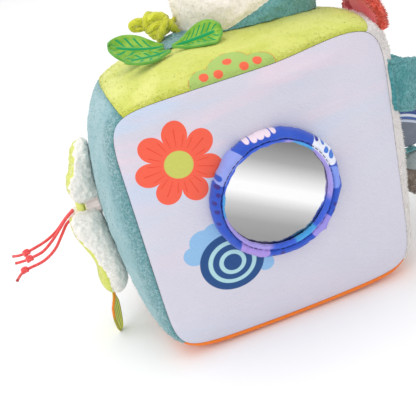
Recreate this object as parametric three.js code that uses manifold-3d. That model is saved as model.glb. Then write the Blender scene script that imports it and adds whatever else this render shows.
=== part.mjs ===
// Soft fabric activity block for a baby: a foam cube in six sewn panels, a round safety mirror on
// the front, leaves, a tied jersey cord and a plush cushion on top, a stuffed flower with knotted
// cords on the left, a grab loop, a ribbon tag and a hanging pod on the right.
// Millimetres, +Z up, the mirror side faces -Y, the origin is in the middle of the resting face.
import * as THREE from 'three';
import { mergeVertices } from 'three/addons/utils/BufferGeometryUtils.js';
import Module from 'manifold-3d';

const wasm = await Module();
wasm.setup();

// Clearances shared by every piece
const seamGap = 0.3;
const weldDistance = 1e-4;
const cutOverrun = 40;

// The block: a soft cube whose panels are rounded squares and whose four sides bulge between the
// front and the back seam
const block = {
  halfWidth: 71,
  halfHeight: 69.5,
  halfDepth: 57,
  cornerPower: 9.5,
  backFaceShare: 0.84,
  taperPower: 1.5,
  sideBulge: 16,
  topBulge: 13.5,
  bottomBulge: 10,
  cornerBulgeShare: 0.4,
  bottomSeamBow: 2.5,
  restDrop: 6.5,
  frontCrown: 7,
  backCrown: 9,
  crownPower: 1.5,
  fabric: 2,
};
block.centreHeight = block.halfHeight + block.restDrop;
const quarter = Math.PI / 2;
const eighth = Math.PI / 4;

// How finely each form is faceted
const facets = {
  anglesPerPanel: 8,
  turnsPerPanel: 10,
  ringsPerFace: 4,
  mirrorSides: 40,
  mirrorRoll: 6,
  leafRows: 9,
  leafColumns: 6,
  cushionRows: 8,
  cushionSides: 28,
  knotRows: 10,
  knotSides: 20,
  cordSides: 8,
  buttonSides: 20,
  petalArc: 9,
  strapBends: 20,
  strapRoll: 28,
  flapRows: 7,
  podRows: 6,
  podSides: 18,
};

// The round mirror on the front face
const mirror = {
  right: -2.5,
  aboveCentre: 7.6,
  visibleRadius: 26.9,
  radius: 29.2,
  thickness: 1.5,
  ringRadius: 34.2,
  ringDepth: 4.4,
  padDepth: 0.9,
  lipDepth: 1.1,
};

// Three cloth leaves sewn together at one point of the top. Heading, climb and tilt are degrees
const leafCloth = { thickness: 1.6, joinX: -26, joinY: -19, endShare: 0.03 };
const leaves = {
  leaf_left: {
    length: 28, halfWidth: 9.5, heading: 172, climb: 15, tilt: 34,
    sag: 2, cup: 1.5, ahead: 2.4, aside: 3.5, lift: 1.5,
  },
  leaf_front: {
    length: 25, halfWidth: 5.5, heading: 192, climb: 7, tilt: 22,
    sag: 1, cup: 1, ahead: 1, aside: -5.5, lift: 1.6,
  },
  leaf_right: {
    length: 27, halfWidth: 7.4, heading: -17, climb: 7, tilt: 52,
    sag: 1.5, cup: 1.2, ahead: 0.6, aside: -3.2, lift: 3.6,
  },
};

// The plush cushion on the top: cream above, teal below, parted on a slope, with the cloth tab that
// its base is sewn down by
const cushion = {
  centreX: 24,
  centreY: 2,
  reachX: 41,
  reachY: 27,
  height: 52,
  footShare: 0.93,
  widestShare: 0.36,
  seamSlopeDeg: 20,
  seamRise: 8.5,
  floorDepth: 8,
};
const cushionTab = { length: 9.5, frontY: -15.5, backY: -4.5, thickness: 1.4 };

// The tied jersey cord beside the cushion
const jersey = {
  cordRadius: 2.1,
  knotX: -23.5,
  knotY: 1.4,
  knotRise: 7.6,
  knotRadius: 6.6,
  knotTall: 7.4,
  wrapDepth: 0.9,
  wraps: 3,
  loopReach: 8.2,
  loopRoot: 5.3,
  loopHalf: 2.9,
  strandGap: 0.95,
  strandBendShare: 0.55,
};

// The stuffed flower on the left side, three petals round a satin neck. Each petal is listed station
// by station, in shares of its length: how far along it, how far its seam stands out of the block,
// how deep its stuffed back and its face are there, and half its width
const flower = {
  aboveCentre: 6,
  standOut: 2.6,
  neckRadius: 6.5,
  neckLength: 7,
  neckCrown: 0.1,
  buttonRadius: 7.8,
  buttonLength: 3,
  buttonCrown: 2,
};
const petals = {
  petal_upper: {
    clock: -12,
    length: 35,
    stationShares: [
      [0.2457, 0.2971, 0.0857, 0.0171, 0.1429],
      [0.3, 0.2971, 0.2, 0.0457, 0.2571],
      [0.4286, 0.2457, 0.2857, 0.08, 0.3714],
      [0.5714, 0.1771, 0.2857, 0.0343, 0.4286],
      [0.7143, 0.0914, 0.2343, 0.0286, 0.4429],
      [0.8286, 0.0171, 0.1829, 0.0743, 0.3714],
      [0.9286, -0.04, 0.1371, 0.0686, 0.2571],
      [1, -0.08, 0.0429, 0.0229, 0.0857],
    ],
  },
  petal_lower: {
    clock: 172,
    length: 55,
    stationShares: [
      [0.0073, 0.2727, 0.0909, 0.0145, 0.1745],
      [0.0473, 0.3055, 0.1818, 0.0182, 0.2109],
      [0.1091, 0.3182, 0.2545, 0.0255, 0.2455],
      [0.2909, 0.2636, 0.2727, 0.0255, 0.3],
      [0.4364, 0.2, 0.2364, 0.0273, 0.3182],
      [0.5636, 0.16, 0.2091, 0.0364, 0.3273],
      [0.6909, 0.1345, 0.1909, 0.0582, 0.3182],
      [0.8182, 0.1345, 0.1745, 0.0945, 0.2636],
      [0.9273, 0.1309, 0.1345, 0.0655, 0.1818],
      [1, 0.1236, 0.0473, 0.0164, 0.0545],
    ],
  },
  petal_back: {
    clock: -84,
    length: 48,
    stationShares: [
      [0.1792, 0.1958, 0.0625, 0.0125, 0.0729],
      [0.2292, 0.1667, 0.1354, 0.025, 0.1146],
      [0.3333, 0.1083, 0.1667, 0.0375, 0.1771],
      [0.4792, 0.0417, 0.1667, 0.0333, 0.25],
      [0.625, -0.0333, 0.15, 0.0292, 0.2917],
      [0.7708, -0.1167, 0.1292, 0.0333, 0.2917],
      [0.8958, -0.2, 0.1042, 0.0333, 0.2292],
      [1, -0.2708, 0.0333, 0.0146, 0.0833],
    ],
  },
};
const leafTag = { length: 25.4, halfWidth: 5, thickness: 1.6, aheadOfTip: 0.4, out: 8.4, sag: 3 };

// The knotted cords that leave the lower front petal, each point listed from the petal outwards
const stamenRadius = 1;
const stamenRoutes = {
  1: [[-99.2, -3.6, 82.4], [-104, -4.4, 79.8], [-109, -5.6, 75.8], [-115.5, -7, 70.8], [-122.5, -8, 66.8],
    [-128.7, -8.4, 65.8]],
  2: [[-99.2, 1, 81], [-104.5, 0, 78], [-112, -2, 73], [-119, -3.4, 70.2], [-129.5, -4.4, 68.1]],
  3: [[-99.2, -2.2, 77.8], [-104.5, -2.8, 76], [-109.5, -6, 71.8], [-115.5, -9.6, 66.6], [-123, -12, 63.4],
    [-132.8, -13.2, 62.5]],
};
const stamenKnot = { radius: 2.3, length: 4.6, tail: 5.6, seat: 1.6, waistShare: 0.12 };

// The grab loop, a folded plush strap sewn into the front and the back seam of the right side
const strap = {
  width: 28,
  thickness: 5,
  edge: 1.2,
  topAboveCentre: 51.5,
  rootInset: 5,
  reach: 50,
  pastSeam: 0.2,
  bendAt: 17,
  sewnPastDeg: 8.6,
  droopDeg: 11,
};
strap.rootX = block.halfWidth - strap.rootInset;
strap.halfSpan = block.halfDepth + strap.pastSeam;

// The flap in the seam between the top and the right side
const flap = {
  centreY: -31,
  halfLength: 21,
  reach: 24,
  standOut: 2.5,
  rootDepth: 3,
  tipShare: 0.985,
  lining: 1.1,
  shell: 4.4,
  leanDeg: 72,
  curlDeg: 12,
};

// The ribbon tag and the hanging pod on the right side
const ribbon = {
  y: -18, aboveCentre: -2, length: 31, halfWidth: 12.5, thickness: 1.6, droopDeg: 16, bow: 1, endShare: 0.04,
};
const pod = {
  y: -20, aboveCentre: -19.5, standOff: 17, radius: 10.5, halfHeight: 14.5, capShare: 0.32,
  tabHalf: 2.6, tabThickness: 1.6, blunt: 1,
};

// Small geometry tools

function unitSection(angle) {
  // A rounded square: the superellipse of the block's corner power
  const c = Math.cos(angle);
  const s = Math.sin(angle);
  const power = block.cornerPower;
  const reach = (Math.abs(c) ** power + Math.abs(s) ** power) ** (-1 / power);
  return [reach * c, reach * s];
}

function bandPoint(angle, turn, grow) {
  // A point of the four sides: turn runs from 0 at the front seam to PI at the back seam, and the
  // bulge follows a half ellipse between them
  const [c, s] = unitSection(angle);
  const depthShare = -Math.cos(turn);
  const taper = 1 - (1 - block.backFaceShare) * ((1 + depthShare) / 2) ** block.taperPower;
  const bulge = Math.sin(turn);
  const upright = Math.max(0, 1 - s * s);
  const level = Math.max(0, 1 - c * c);
  const widen = Math.sign(c) * Math.min(1, c * c);
  const raise = Math.sign(s) * Math.min(1, s * s);
  const spread = (share) => block.cornerBulgeShare + (1 - block.cornerBulgeShare) * share;
  const x = c * (block.halfWidth + grow) * taper + widen * bulge * block.sideBulge * spread(upright);
  const rise = s > 0 ? block.topBulge : block.bottomBulge;
  const bow = s < 0 ? block.bottomSeamBow * level : 0;
  const z = s * (block.halfHeight + grow) * taper + raise * (bulge * rise * spread(level) + bow);
  return standing(x, depthShare * (block.halfDepth + grow), z, grow);
}

function standing(x, y, z, grow) {
  // The foot is pressed flat where the block rests
  return new THREE.Vector3(x, y, Math.max(z + block.centreHeight, -grow));
}

function facePoint(angle, out, back, grow) {
  // A point of the domed front or back face, from its middle (out 0) to its seam (out PI / 2)
  const rim = bandPoint(angle, back ? Math.PI : 0, grow);
  const share = Math.sin(out);
  const crown = (back ? block.backCrown : -block.frontCrown) * Math.max(0, Math.cos(out)) ** block.crownPower;
  const x = rim.x * share;
  const z = block.centreHeight + (rim.z - block.centreHeight) * share;
  return new THREE.Vector3(x, rim.y + crown, z);
}

function panelAngles(from, to) {
  // Denser towards the corners of the section, where it bends most
  return Array.from({ length: facets.anglesPerPanel + 1 }, (_, i) => {
    const u = (2 * i) / facets.anglesPerPanel - 1;
    const eased = Math.sign(u) * (1 - (1 - Math.abs(u)) ** 2);
    return (from + to) / 2 + ((to - from) / 2) * eased;
  });
}

function roundAngles() {
  const corners = [-eighth, eighth, 3 * eighth, 5 * eighth];
  return corners.flatMap((from) => panelAngles(from, from + quarter).slice(0, -1));
}

function steps(count, from, to) {
  return Array.from({ length: count + 1 }, (_, i) => from + ((to - from) * i) / count);
}

function meshGeometry(points, faces) {
  const geometry = new THREE.BufferGeometry();
  const flat = points.flatMap((p) => [p.x, p.y, p.z]);
  geometry.setAttribute('position', new THREE.Float32BufferAttribute(flat, 3));
  geometry.setIndex(faces.flat());
  return geometry;
}

function outwards(geometry) {
  // Turns a closed mesh right side out, by the sign of its volume
  const p = geometry.attributes.position;
  const index = geometry.index.array;
  const at = (i) => new THREE.Vector3().fromBufferAttribute(p, i);
  let volume = 0;
  for (let i = 0; i < index.length; i += 3) {
    volume += at(index[i]).dot(at(index[i + 1]).cross(at(index[i + 2])));
  }
  if (volume < 0) {
    for (let i = 0; i < index.length; i += 3) {
      [index[i], index[i + 1]] = [index[i + 1], index[i]];
    }
  }
  return geometry;
}

function loft(rings) {
  // Closed rings of equal length joined one to the next, both ends drawn to the middle of their ring
  const n = rings[0].length;
  const points = rings.flat();
  const faces = [];
  for (let i = 0; i + 1 < rings.length; i += 1) {
    for (let j = 0; j < n; j += 1) {
      const k = (j + 1) % n;
      const [a, b, c, d] = [i * n + j, i * n + k, (i + 1) * n + k, (i + 1) * n + j];
      faces.push([a, b, c], [a, c, d]);
    }
  }
  for (const [row, flip] of [[0, true], [rings.length - 1, false]]) {
    const middle = new THREE.Vector3();
    rings[row].forEach((p) => middle.addScaledVector(p, 1 / n));
    points.push(middle);
    const pole = points.length - 1;
    for (let j = 0; j < n; j += 1) {
      const k = (j + 1) % n;
      faces.push(flip ? [pole, row * n + k, row * n + j] : [pole, row * n + j, row * n + k]);
    }
  }
  return outwards(meshGeometry(points, faces));
}

function withPoles(geometry, first, last) {
  // Moves the two end points of a loft, so that its ends swell instead of lying flat
  const p = geometry.attributes.position;
  p.setXYZ(p.count - 2, first.x, first.y, first.z);
  p.setXYZ(p.count - 1, last.x, last.y, last.z);
  return geometry;
}

function turning(outline, sides) {
  // A closed solid of revolution about the Y axis
  const lathe = new THREE.LatheGeometry(outline.map(([r, y]) => new THREE.Vector2(r, y)), sides);
  lathe.deleteAttribute('normal');
  lathe.deleteAttribute('uv');
  return toGeometry(toSolid(outwards(mergeVertices(lathe, weldDistance))));
}

function slab(top, bottom) {
  // Two equal grids of points joined round their rims into one closed sheet
  const rows = top.length;
  const columns = top[0].length;
  const points = [...top.flat(), ...bottom.flat()];
  const under = rows * columns;
  const faces = [];
  const quad = (a, b, c, d) => faces.push([a, b, c], [a, c, d]);
  for (let i = 0; i + 1 < rows; i += 1) {
    for (let j = 0; j + 1 < columns; j += 1) {
      const a = i * columns + j;
      quad(a, a + 1, a + columns + 1, a + columns);
      quad(under + a, under + a + columns, under + a + columns + 1, under + a + 1);
    }
  }
  const rim = [];
  for (let j = 0; j < columns - 1; j += 1) rim.push(j);
  for (let i = 0; i < rows - 1; i += 1) rim.push(i * columns + columns - 1);
  for (let j = columns - 1; j > 0; j -= 1) rim.push((rows - 1) * columns + j);
  for (let i = rows - 1; i > 0; i -= 1) rim.push(i * columns);
  rim.forEach((a, i) => {
    const b = rim[(i + 1) % rim.length];
    quad(b, a, under + a, under + b);
  });
  return outwards(meshGeometry(points, faces));
}

function cloth(pointAt, rows, columns, from, to) {
  // A sheet of cloth over the surface pointAt(u, v), u from 0 to 1 and v from -1 to 1, between two
  // offsets along its normal
  const nudge = 1e-3;
  const grid = (offset) => steps(rows, 0, 1).map((u) => steps(columns, -1, 1).map((v) => {
    const here = pointAt(u, v);
    const alongU = pointAt(u + nudge, v).sub(pointAt(u - nudge, v));
    const alongV = pointAt(u, v + nudge).sub(pointAt(u, v - nudge));
    return here.addScaledVector(alongU.cross(alongV).normalize(), offset);
  }));
  return slab(grid(from), grid(to));
}

function tube(route, radius, count) {
  // A round cord along a smooth line through its points, with flat ends
  const section = new THREE.Shape();
  section.absarc(0, 0, radius, 0, 2 * Math.PI);
  return new THREE.ExtrudeGeometry(section, {
    extrudePath: new THREE.CatmullRomCurve3(route),
    steps: count,
    curveSegments: facets.cordSides,
    bevelEnabled: false,
  });
}

function toSolid(geometry) {
  const bare = geometry.clone();
  bare.deleteAttribute('normal');
  bare.deleteAttribute('uv');
  const merged = mergeVertices(bare, weldDistance);
  return new wasm.Manifold(new wasm.Mesh({
    numProp: 3,
    vertProperties: new Float32Array(merged.attributes.position.array),
    triVerts: new Uint32Array(merged.index.array),
  }));
}

function toGeometry(solid) {
  const mesh = solid.getMesh();
  const geometry = new THREE.BufferGeometry();
  geometry.setAttribute('position', new THREE.BufferAttribute(new Float32Array(mesh.vertProperties), 3));
  geometry.setIndex(new THREE.BufferAttribute(new Uint32Array(mesh.triVerts), 1));
  return geometry;
}

function cut(geometry, ...tools) {
  return toGeometry(tools.reduce((solid, tool) => solid.subtract(toSolid(tool)), toSolid(geometry)));
}

function meet(geometry, tool) {
  return toGeometry(toSolid(geometry).intersect(toSolid(tool)));
}

function join(first, ...others) {
  return toGeometry(others.reduce((solid, other) => solid.add(toSolid(other)), toSolid(first)));
}

function blockSolid(grow) {
  // The whole block, grown or shrunk by one clearance
  const angles = roundAngles();
  const front = steps(facets.ringsPerFace, 0, quarter).slice(1, -1);
  const turns = steps(facets.turnsPerPanel, 0, Math.PI);
  const rings = [
    ...front.map((out) => angles.map((angle) => facePoint(angle, out, false, grow))),
    ...turns.map((turn) => angles.map((angle) => bandPoint(angle, turn, grow))),
    ...front.toReversed().map((out) => angles.map((angle) => facePoint(angle, out, true, grow))),
  ];
  return withPoles(loft(rings), facePoint(0, 0, false, grow), facePoint(0, 0, true, grow));
}

const nearBlock = blockSolid(seamGap);

// Where the surface of the block is, for what is sewn on it

function turnAt(y) {
  return Math.acos(THREE.MathUtils.clamp(-y / block.halfDepth, -1, 1));
}

function solve(from, to, isPast) {
  // The angle at which a test first holds, found by halving
  let [low, high] = [from, to];
  for (let i = 0; i < 30; i += 1) {
    const middle = (low + high) / 2;
    if (isPast(middle)) high = middle;
    else low = middle;
  }
  return low;
}

function topHeight(x, y) {
  const at = (angle) => bandPoint(angle, turnAt(y), 0);
  return at(solve(eighth, 3 * eighth, (angle) => at(angle).x <= x)).z;
}

function sideReach(y, z) {
  const at = (angle) => bandPoint(angle, turnAt(y), 0);
  return at(solve(-eighth, eighth, (angle) => at(angle).z >= z)).x;
}

// The block's own pieces

function sidePanel(from) {
  const cornerReach = Math.hypot(block.halfWidth, block.halfHeight);
  const slack = seamGap / cornerReach;
  const start = (2 * seamGap) / block.sideBulge;
  const angles = panelAngles(from + slack, from + quarter - slack);
  const turns = steps(facets.turnsPerPanel, start, Math.PI - start);
  const grid = (grow) => turns.map((turn) => angles.map((angle) => bandPoint(angle, turn, grow)));
  return slab(grid(0), grid(-block.fabric));
}

function facePanel(back) {
  const angles = roundAngles();
  const outs = steps(facets.ringsPerFace, 0, quarter).slice(1);
  const ring = (out, grow) => angles.map((angle) => facePoint(angle, out, back, grow));
  const panel = loft([
    ...outs.map((out) => ring(out, 0)),
    ...outs.toReversed().map((out) => ring(out, -block.fabric)),
  ]);
  return withPoles(panel, facePoint(0, 0, back, 0), facePoint(0, 0, back, -block.fabric));
}

// The mirror: a felt pad on the crown of the front panel, the mirror disc on it, and a rolled ring
// of cloth, sewn down round both, whose lip holds the disc's edge

const crownFace = -block.halfDepth - block.frontCrown;
const padFace = crownFace - mirror.padDepth;
const discBack = padFace - seamGap;
const discFace = discBack - mirror.thickness;

function onMirrorAxis(outline) {
  return turning(outline, facets.mirrorSides)
    .translate(mirror.right, 0, block.centreHeight + mirror.aboveCentre);
}

function mirrorBacking() {
  const behind = -block.halfDepth;
  const pad = onMirrorAxis([[0, behind], [mirror.radius, behind], [mirror.radius, padFace], [0, padFace]]);
  return cut(pad, nearBlock);
}

function mirrorDisc() {
  return onMirrorAxis([[0, discBack], [mirror.radius, discBack], [mirror.radius, discFace], [0, discFace]]);
}

function mirrorBinding() {
  const behind = -block.halfDepth;
  const lipBack = discFace - seamGap;
  const lipFace = lipBack - mirror.lipDepth;
  const roll = mirror.ringRadius - mirror.visibleRadius;
  const crest = steps(facets.mirrorRoll, 0, Math.PI).map((turn) => [
    mirror.ringRadius - (roll * (1 - Math.cos(turn))) / 2,
    lipFace - (mirror.ringDepth - mirror.lipDepth) * Math.sin(turn),
  ]);
  const inner = mirror.radius + seamGap;
  const ring = onMirrorAxis([[inner, behind], [mirror.ringRadius, behind], ...crest,
    [mirror.visibleRadius, lipBack], [inner, lipBack], [inner, behind]]);
  return cut(ring, nearBlock);
}

// Cloth leaves

function leafFrame(leaf) {
  const [heading, climb, tilt] = [leaf.heading, leaf.climb, leaf.tilt].map(THREE.MathUtils.degToRad);
  const level = Math.cos(climb);
  const along = new THREE.Vector3(Math.cos(heading) * level, Math.sin(heading) * level, Math.sin(climb));
  const aside = new THREE.Vector3(0, 0, 1).cross(along).normalize();
  if (aside.y < 0) aside.negate();
  const steep = along.clone().cross(aside).normalize();
  if (steep.z < 0) steep.negate();
  const across = aside.multiplyScalar(Math.cos(tilt)).addScaledVector(steep, Math.sin(tilt));
  const height = topHeight(leafCloth.joinX, leafCloth.joinY) + leaf.lift;
  const root = new THREE.Vector3(leafCloth.joinX, leafCloth.joinY + leaf.aside, height)
    .addScaledVector(along, leaf.ahead);
  const normal = along.clone().cross(across).normalize();
  if (normal.z < 0) normal.negate();
  return { root, along, across, normal };
}

function leafHalf(halfWidth, u, endShare) {
  // A leaf is widest in the middle and keeps a narrow blunt end
  return halfWidth * Math.sqrt(Math.max(0, Math.sin(Math.PI * (endShare + (1 - 2 * endShare) * u))));
}

function leafSolid(leaf) {
  const { root, along, across, normal } = leafFrame(leaf);
  const pointAt = (u, v) => root.clone()
    .addScaledVector(along, leaf.length * u)
    .addScaledVector(across, leafHalf(leaf.halfWidth, u, leafCloth.endShare) * v)
    .addScaledVector(normal, leaf.cup * v * v - leaf.sag * Math.sin(Math.PI * u));
  const half = leafCloth.thickness / 2;
  return cut(cloth(pointAt, facets.leafRows, facets.leafColumns, -half, half), nearBlock);
}

// The plush cushion and the cord tied beside it

const topCrown = topHeight(0, 0);

function cushionReach(share) {
  // Upright sides that swell a little, then a round crown
  if (share < cushion.widestShare) {
    return cushion.footShare + (1 - cushion.footShare) * Math.sin((share / cushion.widestShare) * quarter);
  }
  return Math.sqrt(Math.max(0, 1 - ((share - cushion.widestShare) / (1 - cushion.widestShare)) ** 2));
}

function cushionBody(grow) {
  const rises = steps(facets.cushionRows, 0, quarter).slice(0, -1).map((turn) => Math.sin(turn));
  const ring = (z, share) => steps(facets.cushionSides, 0, 2 * Math.PI).slice(0, -1)
    .map((angle) => new THREE.Vector3(
      cushion.centreX + (cushion.reachX * cushionReach(share) + grow) * Math.cos(angle),
      cushion.centreY + (cushion.reachY * cushionReach(share) + grow) * Math.sin(angle),
      z,
    ));
  const floor = topCrown - cushion.floorDepth;
  const body = loft([
    ring(floor, 0),
    ...rises.map((share) => ring(topCrown + cushion.height * share, share)),
  ]);
  const bottom = new THREE.Vector3(cushion.centreX, cushion.centreY, floor);
  return withPoles(body, bottom, bottom.clone().setZ(topCrown + cushion.height + grow));
}

function cushionHalf(above) {
  // A slanted box takes away what lies on the other side of the slanted seam
  const side = 4 * cushion.reachX;
  const tool = new THREE.BoxGeometry(side, side, side);
  tool.translate(0, 0, (above ? -1 : 1) * (side / 2 - seamGap / 2));
  tool.rotateY(-THREE.MathUtils.degToRad(cushion.seamSlopeDeg));
  tool.translate(cushion.centreX, cushion.centreY, topCrown + cushion.seamRise);
  return cut(cushionBody(0), nearBlock, tool);
}

const strandEndX = cushion.centreX - cushion.reachX;

function cushionTabSolid() {
  // Lies on the top panel and runs up to the foot of the cushion
  const grid = (offset) => steps(4, 0, 1).map((u) => steps(4, 0, 1).map((v) => {
    const x = strandEndX + cushionTab.length * (u - 1) + cushion.floorDepth * u;
    const y = cushionTab.frontY + (cushionTab.backY - cushionTab.frontY) * v;
    return new THREE.Vector3(x, y, topHeight(x, y) + offset);
  }));
  return cut(slab(grid(cushionTab.thickness), grid(-cushionTab.thickness)), nearBlock, cushionBody(seamGap));
}

function jerseyKnot() {
  const knot = new THREE.Vector3(jersey.knotX, jersey.knotY, topCrown + jersey.knotRise);
  const turns = steps(facets.knotSides, 0, 2 * Math.PI).slice(0, -1);
  const rings = steps(facets.knotRows, 0, Math.PI).slice(1, -1).map((polar) => turns.map((angle) => {
    const wrap = jersey.wrapDepth * Math.abs(Math.cos(jersey.wraps * polar + Math.sin(angle)));
    const reach = (jersey.knotRadius - wrap) * Math.sin(polar);
    return new THREE.Vector3(
      knot.x + reach * Math.cos(angle),
      knot.y + reach * Math.sin(angle),
      knot.z - jersey.knotTall * Math.cos(polar),
    );
  }));
  const strands = [-1, 1].map((side) => {
    const y = knot.y + (side * jersey.cordRadius) / 2;
    const z = topHeight(strandEndX, y) + jersey.cordRadius + seamGap;
    return tube([
      new THREE.Vector3(strandEndX + jersey.cordRadius, y, z),
      new THREE.Vector3((strandEndX + knot.x) / 2, knot.y + side * jersey.cordRadius,
        topCrown + jersey.knotRise * jersey.strandBendShare),
      new THREE.Vector3(knot.x, y, knot.z),
    ], jersey.cordRadius, 4);
  });
  const loopPoints = steps(6, -quarter, quarter).map((turn) => new THREE.Vector3(
    knot.x - jersey.loopRoot - jersey.loopReach * Math.cos(turn),
    knot.y,
    knot.z + jersey.loopHalf * Math.sin(turn) + jersey.cordRadius,
  ));
  const loop = tube([knot, ...loopPoints, knot], jersey.cordRadius, 16);
  return cut(join(loft(rings), ...strands, loop), nearBlock, cushionBody(jersey.strandGap));
}

// The flower on the left side

const flowerCentre = new THREE.Vector3(0, 0, block.centreHeight + flower.aboveCentre);
flowerCentre.x = -sideReach(flowerCentre.y, flowerCentre.z) - flower.standOut;

function disc(radius, from, to, crown) {
  // A round button on the flower's axis, crowned on its outer face
  const dome = steps(3, 0, quarter).slice(1)
    .map((turn) => [radius * Math.cos(turn), to + crown * Math.sin(turn)]);
  return turning([[0, from], [radius, from], [radius, to], ...dome], facets.buttonSides)
    .rotateZ(quarter)
    .translate(flowerCentre.x, flowerCentre.y, flowerCentre.z);
}

function flowerNeck() {
  const behind = -flower.standOut - block.fabric;
  return cut(disc(flower.neckRadius, behind, flower.neckLength, flower.neckCrown), nearBlock);
}

function flowerButton() {
  const from = flower.neckLength + flower.neckCrown + seamGap;
  return disc(flower.buttonRadius, from, from + flower.buttonLength, flower.buttonCrown);
}

function petalFrame(petal) {
  const clock = THREE.MathUtils.degToRad(petal.clock);
  return {
    along: new THREE.Vector3(0, -Math.sin(clock), Math.cos(clock)),
    side: new THREE.Vector3(0, Math.cos(clock), Math.sin(clock)),
    out: new THREE.Vector3(-1, 0, 0),
  };
}

function petalPoint(petal, along, out) {
  const frame = petalFrame(petal);
  return flowerCentre.clone().addScaledVector(frame.along, along).addScaledVector(frame.out, out);
}

function petalHalf(petal, face) {
  // Half a stuffed petal: it swells from its flat seam, towards the block or away from it
  const { side, out } = petalFrame(petal);
  const direction = face ? 1 : -1;
  const rings = petal.stationShares.map((shares) => {
    const [along, stand, backDepth, faceDepth, half] = shares.map((share) => share * petal.length);
    const middle = petalPoint(petal, along, stand + (direction * seamGap) / 2);
    const depth = face ? faceDepth : backDepth;
    return steps(facets.petalArc, 0, Math.PI).map((turn) => middle.clone()
      .addScaledVector(side, half * Math.cos(turn))
      .addScaledVector(out, direction * depth * Math.sin(turn)));
  });
  return loft(rings);
}

function petalCut(geometry) {
  // Clear of the block and of the flower's neck and button
  const stem = disc(flower.buttonRadius + seamGap, -cutOverrun, cutOverrun, seamGap);
  return cut(geometry, nearBlock, stem);
}

function leafTagSolid() {
  const tip = petals.petal_lower.length;
  const top = petalPoint(petals.petal_lower, tip + leafTag.aheadOfTip, leafTag.out);
  const pointAt = (u, v) => new THREE.Vector3(
    top.x - leafTag.sag * Math.sin(quarter * u),
    top.y + leafHalf(leafTag.halfWidth, u, leafCloth.endShare) * v,
    top.z - leafTag.length * u,
  );
  return cloth(pointAt, 8, 4, -leafTag.thickness / 2, leafTag.thickness / 2);
}

// Knotted cords

function stamenCord(route) {
  return tube(route.map((p) => new THREE.Vector3(...p)), stamenRadius, 8);
}

function stamenKnotSolid(route) {
  // An overhand knot just past the cord's end, with the short tail that sticks out of it
  const end = new THREE.Vector3(...route.at(-1));
  const along = end.clone().sub(new THREE.Vector3(...route.at(-2))).normalize();
  const side = new THREE.Vector3(0, 1, 0).cross(along).normalize();
  const up = along.clone().cross(side);
  const at = (ahead) => end.clone().addScaledVector(along, seamGap + ahead);
  const turns = steps(10, 0, 2 * Math.PI).slice(0, -1);
  const rings = steps(6, 0, Math.PI).slice(1, -1).map((polar) => turns.map((angle) => {
    const waist = 1 - stamenKnot.waistShare * Math.cos(2 * angle + 2 * polar);
    const reach = stamenKnot.radius * Math.sin(polar) * waist;
    return at((stamenKnot.length * (1 - Math.cos(polar))) / 2)
      .addScaledVector(side, reach * Math.cos(angle))
      .addScaledVector(up, reach * Math.sin(angle));
  }));
  const tailStart = stamenKnot.length - stamenKnot.seat;
  const tailEnd = stamenKnot.length + stamenKnot.tail;
  return join(loft(rings), tube([tailStart, stamenKnot.length, tailEnd].map(at), stamenRadius, 2));
}

// The grab loop

const strapMiddle = block.centreHeight + strap.topAboveCentre - strap.width / 2;

function strapShape(fromAngle, toAngle) {
  const angles = steps(facets.strapBends, fromAngle, toAngle);
  const at = (angle, inset) => new THREE.Vector2(
    strap.rootX + (strap.reach - inset) * Math.cos(angle),
    (strap.halfSpan - inset) * Math.sin(angle),
  );
  return new THREE.Shape([
    ...angles.map((angle) => at(angle, 0)),
    ...angles.toReversed().map((angle) => at(angle, strap.thickness)),
  ]);
}

function strapBand(fromAngle, toAngle) {
  // The strap lying level, with its root at x 0
  const depth = strap.width - 2 * strap.edge;
  const rounding = strap.edge / 2;
  return new THREE.ExtrudeGeometry(strapShape(fromAngle, toAngle), {
    depth,
    curveSegments: 1,
    bevelSegments: 1,
    bevelThickness: strap.edge,
    bevelSize: rounding,
    bevelOffset: -rounding,
  }).translate(-strap.rootX, 0, -depth / 2);
}

function sewnZone(grow) {
  // The stretch of the strap that is sewn down, with the round end on which the free loop turns
  const roll = new THREE.CylinderGeometry(
    strap.width / 2 + grow,
    strap.width / 2 + grow,
    4 * strap.halfSpan,
    facets.strapRoll,
  );
  const side = 4 * strap.halfSpan;
  const root = new THREE.BoxGeometry(side, side, side).translate(-side / 2, 0, 0);
  return join(root, roll).translate(strap.bendAt, 0, 0);
}

function drooping(geometry) {
  return geometry.rotateY(THREE.MathUtils.degToRad(strap.droopDeg)).translate(strap.rootX, 0, strapMiddle);
}

const strapEndAngle = quarter + THREE.MathUtils.degToRad(strap.sewnPastDeg);

function handleLoop() {
  return drooping(cut(strapBand(-strapEndAngle, strapEndAngle), sewnZone(seamGap)));
}

function handleEnd(side) {
  const [near, far] = [side * eighth, side * strapEndAngle];
  const band = strapBand(Math.min(near, far), Math.max(near, far));
  return cut(drooping(meet(band, sewnZone(0))), nearBlock);
}

// The flap, a half oval of lined plush in the top and right seam

function flapPoint(u, v) {
  const half = flap.halfLength * Math.sqrt(Math.max(0, 1 - (flap.tipShare * u) ** 2));
  const y = flap.centreY + half * v;
  const seam = bandPoint(eighth, turnAt(y), 0);
  const lean = THREE.MathUtils.degToRad(flap.leanDeg + (flap.curlDeg * u) / 2);
  const rise = flap.reach * u - flap.rootDepth * (1 - u);
  return new THREE.Vector3(seam.x + flap.standOut + rise * Math.cos(lean), y, seam.z + rise * Math.sin(lean));
}

function flapLayer(from, to) {
  return cut(cloth(flapPoint, facets.flapRows, facets.flapRows + 1, from, to), nearBlock);
}

// The ribbon tag and the pod

const ribbonRoot = new THREE.Vector3(0, ribbon.y, block.centreHeight + ribbon.aboveCentre);
ribbonRoot.x = sideReach(ribbonRoot.y, ribbonRoot.z);

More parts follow.
